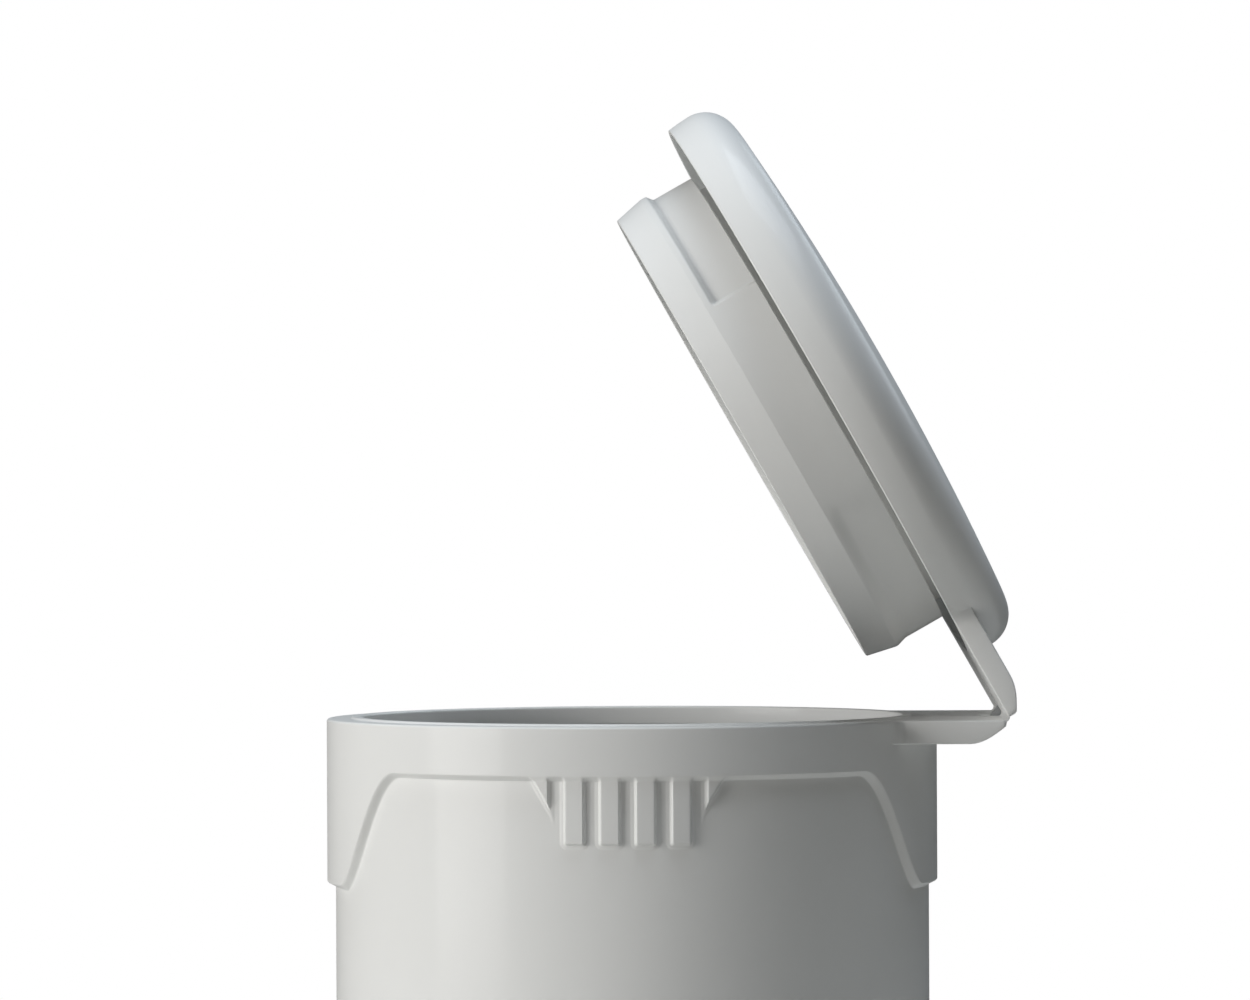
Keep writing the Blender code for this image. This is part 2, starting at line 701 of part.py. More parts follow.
def bell_crank(parent):
    """In world places, under its pivot empty."""
    link_pin = crank_pin_at(0.0, 0.0)
    rod_pin = (rod_pin_at()[0] - BELL_X, rod_pin_at()[1] - BELL_Z)
    outline = hull_outline(((0.0, 0.0), 0.0028), (link_pin, EYE_RADIUS), (rod_pin, EYE_RADIUS))
    crank = extruded("bell_crank", outline, -LAYER_HALF, LAYER_HALF, "Y", parent=parent)
    journal = round_outline((0.0, 0.0), 0.0019)
    add(crank, extruded("add_journal", journal, 0.0010, 0.0096, "Y", parent=parent))
    for index, place in enumerate((link_pin, rod_pin)):
        hole = round_outline(place, LINK_HOLE_RADIUS)
        cut(crank, extruded(f"cut_bell_hole_{index}", hole, -0.01, 0.01, "Y", parent=parent))
    dressed(crank, zinc_steel("bell_crank_steel"))
    pin("link_pin_rear", link_pin, LAYER_HALF, LINK_FAR - GAP, -0.0006, parent)
    pin("rod_pin", rod_pin, -LAYER_HALF, ROD_FAR + GAP, 0.0006, parent)
    clip = extruded("crank_clip", round_outline((0.0, 0.0), 0.0034), 0.0083, 0.0090, "Y", parent=parent)
    cut(clip, extruded("cut_clip_bore", round_outline((0.0, 0.0), 0.0022), 0.0, 0.02, "Y", parent=parent))
    dressed(clip, zinc_steel("crank_clip_steel"))


def crank_bracket():
    low, high = BELL_Z - 0.0070, BELL_Z + 0.0070
    bracket = box("crank_bracket", (0.1146, 0.0056, low), (0.1164, 0.0215, high))
    add(bracket, box("add_bracket_arm", (0.1150, 0.0058, low + 0.0020), (0.1215, 0.0080, high - 0.0020)))
    clip_room = round_outline((BELL_X, BELL_Z), 0.0041)
    cut(bracket, extruded("cut_clip_room", clip_room, 0.0080, 0.0125, "Y"))
    bore = round_outline((BELL_X, BELL_Z), 0.0022)
    cut(bracket, extruded("cut_bracket_bore", bore, 0.0, 0.0120, "Y"))
    for index, (y, z) in enumerate(bracket_screw_places()):
        hole = round_outline((y, z), 0.0013)
        cut(bracket, extruded(f"cut_bracket_hole_{index}", hole, 0.1100, 0.1170, "X"))
        profile = screw_profile(0.0020, 0.0013, 0.0010, 0.0078)
        screw(f"bracket_screw_{index + 1}", profile, None, (0.1143, y, z), (0, math.pi / 2, 0))
    return dressed(bracket, zinc_steel("bracket_steel"))


def pull_link():
    """The flat link from the bell crank, up behind the rim and level through the shelf to the lid's crank."""
    rear = crank_pin_at(BELL_X, BELL_Z)
    front = crank_pin_at(HINGE_X, HINGE_Z)
    level = RIM_HEIGHT - 0.0042
    riser = rear[0] + 0.00145
    upright = hull_outline((rear, EYE_RADIUS), ((riser, level - 0.0003), 0.0013))
    link = extruded("pull_link", upright, LINK_FAR, LINK_NEAR, "Y")
    bar = [
        (riser - 0.0010, level - 0.0010), (front[0] - 0.0040, level - 0.0010), (front[0], front[1] - 0.0017),
        (front[0], front[1] + 0.0012), (front[0] - 0.0030, level + 0.0010), (riser - 0.0010, level + 0.0010),
    ]
    add(link, extruded("add_link_bar", bar, LINK_FAR + 0.00004, LINK_NEAR - 0.00004, "Y"))
    eye = round_outline(front, EYE_RADIUS)
    add(link, extruded("add_link_eye", eye, LINK_FAR, LINK_NEAR, "Y"))
    for index, place in enumerate((rear, front)):
        hole = round_outline(place, LINK_HOLE_RADIUS)
        cut(link, extruded(f"cut_link_hole_{index}", hole, -0.01, 0.01, "Y"))
    return dressed(link, zinc_steel("pull_link_steel"))


def push_rod():
    """A round rod with a flattened, slotted head for the bell crank's pin."""
    middle = BELL_X - ROD_ARM * (1 + math.cos(HALF_LID_TURN)) / 2
    swing = ROD_ARM * (1 - math.cos(HALF_LID_TURN)) / 2
    head = rod_pin_at()[1]
    foot = PEDAL_PIVOT_Z + ROD_FOOT_LIFT
    place = (middle, ROD_Y)
    rod = extruded("push_rod", round_outline(place, ROD_RADIUS), foot, head - 0.0100, "Z")
    ends = [(middle - swing, head), (middle + swing, head)]
    neck = hull_outline(((middle, head - 0.0102), 0.0018), *[(end, 0.0021) for end in ends])
    add(rod, extruded("add_rod_head", neck, ROD_NEAR, ROD_FAR, "Y"))
    slot = hull_outline(*[(end, LINK_HOLE_RADIUS) for end in ends])
    cut(rod, extruded("cut_rod_slot", slot, 0.0, 0.01, "Y"))
    return dressed(rod, zinc_steel("push_rod_steel"))


def rod_guide():
    """A moulded eye that pegs into the rear wall and steadies the push rod."""
    rod_x = BELL_X - ROD_ARM * (1 + math.cos(HALF_LID_TURN)) / 2
    half, tall, wide = 0.0030, 0.0070, 0.0045
    guide = box("rod_guide", (0.1092, ROD_Y - wide, GUIDE_Z - half), (0.1170, ROD_Y + wide, GUIDE_Z + half))
    add(guide, box("add_guide_flange", (0.1160, -0.0095, GUIDE_Z - tall), (0.1176, 0.0145, GUIDE_Z + tall)))
    for index, y in enumerate(guide_peg_places()):
        peg = round_outline((y, GUIDE_Z), 0.0012)
        add(guide, extruded(f"add_guide_peg_{index}", peg, 0.1165, 0.1202, "X"))
    bore = round_outline((rod_x, ROD_Y), ROD_RADIUS + GAP)
    cut(guide, extruded("cut_guide_bore", bore, GUIDE_Z - 0.02, GUIDE_Z + 0.02, "Z"))
    return dressed(guide, grey_plastic("guide_grey"))


def shelf_cover():
    under = RIM_HEIGHT - SHELF_THICKNESS
    start, end = COVER_SEAT_START + GAP, COVER_SEAT_END - GAP
    cover = box("shelf_cover", (start, -0.0095, under), (end, 0.0095, under + 0.0012))
    for index, y in enumerate(cover_screw_places()):
        hole = round_outline((COVER_SCREW_X, y), 0.0012)
        cut(cover, extruded(f"cut_cover_hole_{index}", hole, under - 0.01, under + 0.01, "Z"))
        profile = screw_profile(0.0018, 0.0008, 0.0008, 0.0046)
        screw(f"cover_screw_{index + 1}", profile, None, (COVER_SCREW_X, y, under - GAP))
    return dressed(cover, white_plastic("cover_white"))


def axle_brackets():
    low = BASE_PLATE_TOP + GAP
    for name, hand in (("left", -1), ("right", 1)):
        near, far = sorted((hand * 0.0118, hand * 0.0140))
        hub = hull_outline(
            ((PEDAL_PIVOT_X, PEDAL_PIVOT_Z), 0.0075),
            ((PEDAL_PIVOT_X - 0.0090, low + 0.0020), 0.0020),
            ((PEDAL_PIVOT_X + 0.0090, low + 0.0020), 0.0020),
        )
        bracket = extruded(f"axle_bracket_{name}", hub, near, far, "Y")
        near, far = sorted((hand * 0.0125, hand * 0.0240))
        start, end = PEDAL_PIVOT_X - 0.0110, PEDAL_PIVOT_X + 0.0110
        add(bracket, box(f"add_{name}_foot", (start, near, low), (end, far, low + BRACKET_FOOT)))
        bore = round_outline((PEDAL_PIVOT_X, PEDAL_PIVOT_Z), AXLE_HOLE_RADIUS)
        cut(bracket, extruded(f"cut_{name}_bore", bore, -0.03, 0.03, "Y"))
        for index, place in enumerate(axle_screw_places()):
            if place[1] * hand > 0:
                hole = round_outline(place, 0.0014)
                cut(bracket, extruded(f"cut_{name}_hole_{index}", hole, 0.0, 0.0110, "Z"))
        dressed(bracket, zinc_steel(f"axle_bracket_{name}_steel"))
    for index, (x, y) in enumerate(axle_screw_places(), 1):
        place = (x, y, low + BRACKET_FOOT + GAP)
        profile = screw_profile(0.0026, 0.0016, 0.0011, 0.0052)
        screw(f"axle_screw_{index}", profile, None, place, (math.pi, 0, 0))


def pedal_axle():
    place = (PEDAL_PIVOT_X, PEDAL_PIVOT_Z)
    axle = extruded("pedal_axle", round_outline(place, AXLE_RADIUS, 24), -0.0170, 0.0170, "Y")
    dressed(axle, zinc_steel("pedal_axle_steel"))
    for name, hand in (("left", -1), ("right", 1)):
        near, far = sorted((hand * 0.0144, hand * 0.0154))
        clip = extruded(f"axle_clip_{name}", round_outline(place, 0.0055, 24), near, far, "Y")
        cut(clip, extruded(f"cut_{name}_clip", round_outline(place, AXLE_HOLE_RADIUS, 24), -0.03, 0.03, "Y"))
        dressed(clip, zinc_steel(f"axle_clip_{name}_steel"))


def pedal_outline(inset=0.0):
    """The foot plate's outline with rounded corners, in the lever's own frame."""
    tip = PAD_TIP + inset
    near = PAD_NEAR - inset
    half = PAD_HALF_WIDTH - inset
    corner = PAD_CORNER
    points = []
    centres = [(near - corner, half - corner), (tip + corner, half - corner),
               (tip + corner, corner - half), (near - corner, corner - half)]
    for quarter, (x, y) in enumerate(centres):
        for step in range(5):
            turn = math.pi / 2 * (quarter + step / 4)
            points.append((x + corner * math.cos(turn), y + corner * math.sin(turn)))
    return points


def pedal_lever(parent):
    half = LEVER_HALF_THICKNESS
    wide = LEVER_HALF_WIDTH
    plate = half + 0.0001
    lever = box("pedal_lever", (PAD_NEAR - 0.02, -wide, -half), (LEVER_BACK, wide, half), parent=parent)
    add(lever, extruded("add_pedal_plate", pedal_outline(), -plate, plate, "Z", parent=parent))
    hub = round_outline((0.0, 0.0), LEVER_HUB_RADIUS, 24)
    add(lever, extruded("add_lever_hub", hub, -0.0110, 0.0110, "Y", parent=parent))
    bore = round_outline((0.0, 0.0), AXLE_HOLE_RADIUS, 24)
    cut(lever, extruded("cut_lever_bore", bore, -0.02, 0.02, "Y", parent=parent))
    dressed(lever, zinc_steel("pedal_lever_steel"))
    top = plate + GAP
    tread = extruded("pedal_tread", pedal_outline(0.0015), top, top + 0.0026, "Z", parent=parent)
    dressed(tread, soft_rubber("pedal_tread_rubber"))


def build():
    clear_scene()
    body_shell()
    base_ring()
    base_plate()
    feet()
    base_screws()
    bucket_stand()
    inner_bucket()
    lid_pivot = pivot("lid_pivot", (HINGE_X, 0.0, HINGE_Z), LID_OPEN)
    lid_place = (-HINGE_X, 0.0, LID_LIFT)
    lid_shell(lid_pivot, lid_place)
    lid_plug(lid_pivot, lid_place)
    plug_screws(lid_pivot, lid_place)
    lid_crank(lid_pivot)
    pin("link_pin_front", (0.0, -CRANK_ARM), LAYER_HALF, LINK_FAR - GAP, -0.0006, lid_pivot)
    hinge_films()
    bell_crank(pivot("bell_pivot", (BELL_X, 0.0, BELL_Z)))
    crank_bracket()
    pull_link()
    push_rod()
    rod_guide()
    shelf_cover()
    axle_brackets()
    pedal_axle()
    pedal_lever(pivot("pedal_pivot", (PEDAL_PIVOT_X, 0.0, PEDAL_PIVOT_Z), -PEDAL_DOWN))


build()
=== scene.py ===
"""A round pedal bin with its flip lid open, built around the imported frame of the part.

Every piece is made as its own object, in metres, in the frame's own place. The body and lid are fine
meshes of one moulded white plastic; the pedal linkage keeps its working solids with better finishes.
"""

import json
import math

import bmesh
import bpy
import numpy as np
from bpy.props import FloatProperty, FloatVectorProperty, PointerProperty
from bpy.types import Operator, Panel, PropertyGroup
from mathutils import Matrix, Quaternion, Vector


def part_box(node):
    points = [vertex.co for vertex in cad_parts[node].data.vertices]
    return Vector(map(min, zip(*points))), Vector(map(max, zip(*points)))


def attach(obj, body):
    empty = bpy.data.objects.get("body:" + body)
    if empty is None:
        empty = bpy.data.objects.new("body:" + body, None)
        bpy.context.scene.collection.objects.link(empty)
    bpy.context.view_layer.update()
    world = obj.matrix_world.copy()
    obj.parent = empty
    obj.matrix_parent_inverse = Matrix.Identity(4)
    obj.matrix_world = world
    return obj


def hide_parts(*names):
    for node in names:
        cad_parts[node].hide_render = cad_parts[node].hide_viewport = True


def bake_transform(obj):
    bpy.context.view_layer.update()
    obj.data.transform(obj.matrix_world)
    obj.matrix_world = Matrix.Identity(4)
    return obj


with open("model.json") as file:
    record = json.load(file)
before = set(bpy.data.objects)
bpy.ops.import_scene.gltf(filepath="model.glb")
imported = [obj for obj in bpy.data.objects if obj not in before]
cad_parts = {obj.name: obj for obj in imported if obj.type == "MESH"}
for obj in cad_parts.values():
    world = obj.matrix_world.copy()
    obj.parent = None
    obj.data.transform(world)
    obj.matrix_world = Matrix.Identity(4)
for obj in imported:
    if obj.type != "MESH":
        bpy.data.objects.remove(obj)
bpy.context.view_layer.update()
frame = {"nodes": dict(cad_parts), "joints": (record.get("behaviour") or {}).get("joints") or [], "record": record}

bl_info = {
    "name": "Pedal Bin",
    "version": (1, 0, 0),
    "blender": (4, 5, 0),
    "location": "View3D > Sidebar > Pedal Bin",
    "description": "Builds a round pedal bin with a flip lid on a moulded hinge line",
    "category": "Add Mesh",
}

# Places taken from the frame
JOINTS = {joint["name"]: joint for joint in frame["joints"]}
FILM_END_GAP = 0.0005
FILM_NOTCH_GAP = 0.0004
HINGE_OVER_RIM = 0.0002
LID_LIFT = 0.0004
HINGE = Vector(JOINTS["lid_hinge"]["pos_m"])
LID_OPEN = -math.radians(JOINTS["lid_hinge"]["range_deg"][0])
PEDAL_PIVOT = Vector(JOINTS["pedal_press"]["pos_m"])
BODY_LOW, BODY_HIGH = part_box("body_shell")
COLLAR_RADIUS = -BODY_LOW.y
SHELF_END = BODY_HIGH.x
RING_LOW, RING_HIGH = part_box("base_ring")
BUCKET_LOW, BUCKET_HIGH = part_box("inner_bucket")
TAB_HALF_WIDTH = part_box("hinge_film_right")[1].y + FILM_END_GAP
NOTCH_HALF_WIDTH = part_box("hinge_film_right")[0].y - FILM_NOTCH_GAP
LIP_RISE = 0.0008
RIM_HEIGHT = HINGE.z - HINGE_OVER_RIM


def metres(name, default, description):
    return FloatProperty(name=name, default=default, description=description, unit="LENGTH", precision=5)


def colour(name, default, description):
    return FloatVectorProperty(
        name=name, default=default, description=description, subtype="COLOR", size=3, min=0.0, max=1.0,
    )


class BinSizes(PropertyGroup):
    """Sizes that a user would change."""

    body_radius: metres("Body radius", 0.1215, "Outside of the plain wall below the collar")
    wall_inner_radius: metres("Inner wall radius", 0.1190, "Inside of the plain wall")
    band_depth: metres("Band depth", 0.0203, "Depth of the collar at the two sides")
    lug_depth: metres("Lug depth", 0.0674, "Depth of the collar at the hinge and at the front")
    rib_pitch: metres("Rib pitch", 0.0143, "Distance between the ribs under the collar")
    rib_end: metres("Rib end", 0.0460, "Depth of the ribs' lower ends below the rim")
    lip_radius: metres("Lip radius", 0.1129, "Crest of the raised lip round the mouth")
    mouth_radius: metres("Mouth radius", 0.1105, "Clear radius of the mouth")
    mouth_skirt: metres("Mouth skirt", 0.0070, "Depth of the short wall inside the mouth")
    shelf_thickness: metres("Shelf thickness", 0.0094, "Thickness of the body's hinge shelf")
    tab_thickness: metres("Tab thickness", 0.0089, "Thickness of the lid's hinge tab")
    side_fillet: metres("Side fillet", 0.0080, "Fillet where shelf and tab run into the round wall")
    lid_rim_radius: metres("Lid rim radius", 0.1238, "Outside of the lid's skirt at its rim")
    lid_widest: metres("Lid widest radius", 0.1246, "Outside of the lid at the start of its shoulder")
    lid_wall: metres("Lid wall", 0.0020, "Thickness of the lid's shell")
    neck_radius: metres("Plug neck radius", 0.1028, "Plug ring where it is waisted at the front")
    hinge_neck_radius: metres("Plug hinge neck", 0.1042, "Plug ring where it is waisted at the hinge")
    bead_radius: metres("Plug bead radius", 0.1055, "Plug ring at its bead")
    plug_depth: metres("Plug depth", 0.0366, "How far the plug ring stands below the lid's rim")
    floor_radius: metres("Floor radius", 1.6, "Radius of the pale floor")


class BinColours(PropertyGroup):
    """Colours that a user would change."""

    white: colour("White plastic", (0.80, 0.805, 0.795), "Body and lid")
    base: colour("Base plastic", (0.075, 0.080, 0.085), "Base ring and stand")
    bucket: colour("Bucket plastic", (0.300, 0.315, 0.330), "Inner bucket")
    steel: colour("Plated steel", (0.560, 0.570, 0.580), "Linkage and screws")
    rubber: colour("Rubber", (0.030, 0.031, 0.033), "Feet and pedal tread")
    floor: colour("Floor", (0.740, 0.715, 0.670), "Pale floor")


# Shader node groups


DUST_DRIFT_SCALE = 14.0
DUST_TINT = (0.62, 0.60, 0.57)
DUST_ROUGHENS = 0.30
SCRATCH_ROUGHENS = 0.18
COAT_ROUGHNESS = 0.12
BUMP_STRENGTH = 0.6

def new_group(name, inputs, outputs):
    """An empty shader node group with float inputs (name, default) and outputs (name, type)."""
    group = bpy.data.node_groups.new(name, "ShaderNodeTree")
    for label, default in inputs:
        socket = group.interface.new_socket(label, in_out="INPUT", socket_type="NodeSocketFloat")
        socket.default_value = default
    for label, kind in outputs:
        group.interface.new_socket(label, in_out="OUTPUT", socket_type=kind)
    source = group.nodes.new("NodeGroupInput")
    sink = group.nodes.new("NodeGroupOutput")
    return group, source, sink


def noise_node(tree, vector, scale, detail, roughness=0.5):
    node = tree.nodes.new("ShaderNodeTexNoise")
    node.inputs["Detail"].default_value = detail
    node.inputs["Roughness"].default_value = roughness
    tree.links.new(vector, node.inputs["Vector"])
    if isinstance(scale, float):
        node.inputs["Scale"].default_value = scale
    else:
        tree.links.new(scale, node.inputs["Scale"])
    return node


def ramp_node(tree, value, low, high, out_low=0.0, out_high=1.0):
    node = tree.nodes.new("ShaderNodeMapRange")
    node.inputs["From Min"].default_value = low
    node.inputs["From Max"].default_value = high
    node.inputs["To Min"].default_value = out_low
    node.inputs["To Max"].default_value = out_high
    tree.links.new(value, node.inputs["Value"])
    return node.outputs["Result"]


def maths_node(tree, operation, first, second):
    node = tree.nodes.new("ShaderNodeMath")
    node.operation = operation
    for socket, value in zip(node.inputs, (first, second)):
        if isinstance(value, float):
            socket.default_value = value
        else:
            tree.links.new(value, socket)
    return node.outputs["Value"]


def grain_group():
    """Mould texture: a fine skin height, and a slow tone that drifts over the surface."""
    group, source, sink = new_group(
        "moulding_grain",
        [("Grain Scale", 900.0), ("Drift Scale", 9.0)],
        [("Height", "NodeSocketFloat"), ("Tone", "NodeSocketFloat")],
    )
    place = group.nodes.new("ShaderNodeTexCoord").outputs["Object"]
    fine = noise_node(group, place, source.outputs["Grain Scale"], 3.0, 0.6)
    slow = noise_node(group, place, source.outputs["Drift Scale"], 2.0)
    group.links.new(fine.outputs["Fac"], sink.inputs["Height"])
    group.links.new(slow.outputs["Fac"], sink.inputs["Tone"])
    return group


def dust_group():
    """Settled dust on faces that look up, broken up by two sizes of noise."""
    group, source, sink = new_group(
        "settled_dust", [("Speck Scale", 260.0), ("Amount", 0.5)], [("Mask", "NodeSocketFloat")],
    )
    normal = group.nodes.new("ShaderNodeNewGeometry").outputs["Normal"]
    split = group.nodes.new("ShaderNodeSeparateXYZ")
    group.links.new(normal, split.inputs["Vector"])
    upward = ramp_node(group, split.outputs["Z"], 0.2, 1.0)
    place = group.nodes.new("ShaderNodeTexCoord").outputs["Object"]
    small = noise_node(group, place, source.outputs["Speck Scale"], 4.0, 0.7)
    large = noise_node(group, place, DUST_DRIFT_SCALE, 2.0)
    specks = ramp_node(group, small.outputs["Fac"], 0.48, 0.72)
    drifts = ramp_node(group, large.outputs["Fac"], 0.35, 0.75)
    mask = maths_node(group, "MULTIPLY", maths_node(group, "MULTIPLY", upward, specks), drifts)
    group.links.new(maths_node(group, "MULTIPLY", mask, source.outputs["Amount"]), sink.inputs["Mask"])
    return group


def scratch_group():
    """Long fine marks, as left by wiping or by pressing tools."""
    group, source, sink = new_group(
        "fine_scratches", [("Stretch", 30.0), ("Density", 0.5)], [("Mask", "NodeSocketFloat")],
    )
    place = group.nodes.new("ShaderNodeTexCoord").outputs["Object"]
    layers = []
    for turn in (0.35, 1.9):
        mapping = group.nodes.new("ShaderNodeMapping")
        mapping.inputs["Rotation"].default_value = (turn, turn * 0.5, turn * 1.7)
        mapping.inputs["Scale"].default_value = (1.0, 14.0, 1.0)
        group.links.new(place, mapping.inputs["Vector"])
        lines = noise_node(group, mapping.outputs["Vector"], source.outputs["Stretch"], 5.0, 0.65)
        layers.append(ramp_node(group, lines.outputs["Fac"], 0.60, 0.66))
    both = maths_node(group, "MAXIMUM", layers[0], layers[1])
    group.links.new(maths_node(group, "MULTIPLY", both, source.outputs["Density"]), sink.inputs["Mask"])
    return group


def edge_group():
    """Worn outer edges: 1 where the surface turns sharply outward, broken by noise."""
    group, source, sink = new_group(
        "edge_wear", [("Start", 0.53), ("Full", 0.62)], [("Mask", "NodeSocketFloat")],
    )
    point = group.nodes.new("ShaderNodeNewGeometry").outputs["Pointiness"]
    node = group.nodes.new("ShaderNodeMapRange")
    group.links.new(point, node.inputs["Value"])
    group.links.new(source.outputs["Start"], node.inputs["From Min"])
    group.links.new(source.outputs["Full"], node.inputs["From Max"])
    place = group.nodes.new("ShaderNodeTexCoord").outputs["Object"]
    patches = ramp_node(group, noise_node(group, place, 120.0, 3.0).outputs["Fac"], 0.35, 0.65)
    group.links.new(maths_node(group, "MULTIPLY", node.outputs["Result"], patches), sink.inputs["Mask"])
    return group


def effect(name, maker):
    """The shared node group of that name, built the first time it is asked for."""
    return bpy.data.node_groups.get(name) or maker()


def place_group(tree, name, maker, **values):
    node = tree.nodes.new("ShaderNodeGroup")
    node.node_tree = effect(name, maker)
    for label, value in values.items():
        node.inputs[label.replace("_", " ")].default_value = value
    return node


def mixed_colour(tree, factor, first, second):
    """Base colour that goes from first to second as factor goes from 0 to 1."""
    node = tree.nodes.new("ShaderNodeMix")
    node.data_type = "RGBA"
    sockets = {"factor": node.inputs[0], "first": node.inputs[6], "second": node.inputs[7]}
    tree.links.new(factor, sockets["factor"])
    for key, value in (("first", first), ("second", second)):
        if isinstance(value, tuple):
            sockets[key].default_value = (*value, 1.0)
        else:
            tree.links.new(value, sockets[key])
    return node.outputs[2]


def shaded(value, factor):
    return tuple(min(1.0, part * factor) for part in value)


def roughened(tree, rough, mask, amount):
    return maths_node(tree, "ADD", rough, maths_node(tree, "MULTIPLY", mask, amount))


def finish_of(
    name, tint, roughness, metallic=0.0, grain=900.0, bump=0.00002, drift=9.0, dust=0.3,
    scratches=0.0, wear=0.0, wear_tint=None, coat=0.0, rough_spread=0.06, specular=0.5,
):
    """A procedural finish: drifting tone, skin grain, dust, scratches and worn edges."""
    made = bpy.data.materials.get(name)
    if made:
        return made
    made = bpy.data.materials.new(name)
    made.use_nodes = True
    tree = made.node_tree
    shader = tree.nodes["Principled BSDF"]
    shader.inputs["Metallic"].default_value = metallic
    shader.inputs["Coat Weight"].default_value = coat
    shader.inputs["Specular IOR Level"].default_value = specular
    shader.inputs["Coat Roughness"].default_value = COAT_ROUGHNESS
    skin = place_group(tree, "moulding_grain", grain_group, Grain_Scale=grain, Drift_Scale=drift)
    body = mixed_colour(tree, skin.outputs["Tone"], shaded(tint, 0.965), shaded(tint, 1.02))
    gloss_range = (roughness - rough_spread, roughness + rough_spread)
    rough = ramp_node(tree, skin.outputs["Tone"], 0.25, 0.75, *gloss_range)
    if scratches:
        marks = place_group(tree, "fine_scratches", scratch_group, Density=scratches)
        body = mixed_colour(tree, marks.outputs["Mask"], body, shaded(tint, 1.12))
        rough = roughened(tree, rough, marks.outputs["Mask"], SCRATCH_ROUGHENS)
    if wear:
        edges = place_group(tree, "edge_wear", edge_group)
        share = maths_node(tree, "MULTIPLY", edges.outputs["Mask"], wear)
        body = mixed_colour(tree, share, body, wear_tint or shaded(tint, 1.25))
    if dust:
        settled = place_group(tree, "settled_dust", dust_group, Amount=dust)
        body = mixed_colour(tree, settled.outputs["Mask"], body, DUST_TINT)
        rough = roughened(tree, rough, settled.outputs["Mask"], DUST_ROUGHENS)
    tree.links.new(body, shader.inputs["Base Color"])
    tree.links.new(rough, shader.inputs["Roughness"])
    relief = tree.nodes.new("ShaderNodeBump")
    relief.inputs["Distance"].default_value = bump
    relief.inputs["Strength"].default_value = BUMP_STRENGTH
    tree.links.new(skin.outputs["Height"], relief.inputs["Height"])
    tree.links.new(relief.outputs["Normal"], shader.inputs["Normal"])
    return made


def white_plastic():
    tint = tuple(bpy.context.scene.bin_colours.white)
    return finish_of("satin_white_plastic", tint, 0.36, grain=700.0, bump=0.000015, drift=7.0, dust=0.10,
                     coat=0.16, rough_spread=0.03, specular=0.10)


def base_plastic():
    tint = tuple(bpy.context.scene.bin_colours.base)
    return finish_of("dark_base_plastic", tint, 0.48, grain=1500.0, bump=0.00006, dust=0.35, scratches=0.35,
                     wear=0.4)


def bucket_plastic():
    tint = tuple(bpy.context.scene.bin_colours.bucket)
    return finish_of("grey_bucket_plastic", tint, 0.40, grain=1100.0, bump=0.00003, dust=0.20, scratches=0.30)


def plated_steel():
    tint = tuple(bpy.context.scene.bin_colours.steel)
    return finish_of("plated_steel", tint, 0.34, 1.0, grain=1800.0, bump=0.00002, dust=0.10, scratches=0.5,
                     wear=0.5, rough_spread=0.10)


def black_rubber():
    tint = tuple(bpy.context.scene.bin_colours.rubber)
    return finish_of("black_rubber", tint, 0.72, grain=2200.0, bump=0.00010, dust=0.45, wear=0.5,
                     wear_tint=(0.075, 0.075, 0.078))


# Mesh helpers


SHARP_ANGLE = 35.0


def smooth_object(name, bm, sharp=SHARP_ANGLE):
    """The object of a finished bmesh, facing outward, shaded smooth except at real corners."""
    bmesh.ops.recalc_face_normals(bm, faces=bm.faces)
    mesh = bpy.data.meshes.new(name)
    bm.to_mesh(mesh)
    bm.free()
    mesh.shade_smooth()
    mesh.set_sharp_from_angle(angle=math.radians(sharp))
    obj = bpy.data.objects.new(name, mesh)
    bpy.context.scene.collection.objects.link(obj)
    return obj


def woven(name, rings, wrap=True, close=True, sharp=SHARP_ANGLE):
    """A mesh through a list of rings of equal length: each ring closes on itself if close, and the last
    ring joins the first if wrap; otherwise the two end rings are capped."""
    rings = np.asarray(rings, float)
    many, count = rings.shape[:2]
    bm = bmesh.new()
    verts = [bm.verts.new(point) for point in rings.reshape(-1, 3)]
    for ring in range(many if wrap else many - 1):
        here, there = ring * count, (ring + 1) % many * count
        for step in range(0 if close else 1, count):
            corners = (here + step - 1 if step else here + count - 1, here + step,
                       there + step, there + step - 1 if step else there + count - 1)
            bm.faces.new([verts[corner] for corner in corners])
    if not wrap:
        bm.faces.new(verts[:count])
        bm.faces.new(verts[-count:])
    bmesh.ops.remove_doubles(bm, verts=bm.verts, dist=1e-7)
    return smooth_object(name, bm, sharp)


def revolved(name, profile, segments=192, sharp=SHARP_ANGLE):
    """A closed (radius, height) profile turned about Z; it may start and end on the axis."""
    turns = [math.tau * step / segments for step in range(segments)]
    rings = [[(r * math.cos(a), r * math.sin(a), z) for r, z in profile] for a in turns]
    on_axis = profile[0][0] < 1e-9 and profile[-1][0] < 1e-9
    return woven(name, rings, close=not on_axis, sharp=sharp)


def arc(centre, radius, start, end, steps=6):
    """Points on an arc in a profile's plane, angles in degrees."""
    turns = [math.radians(start + (end - start) * step / steps) for step in range(steps + 1)]
    return [(centre[0] + radius * math.cos(a), centre[1] + radius * math.sin(a)) for a in turns]


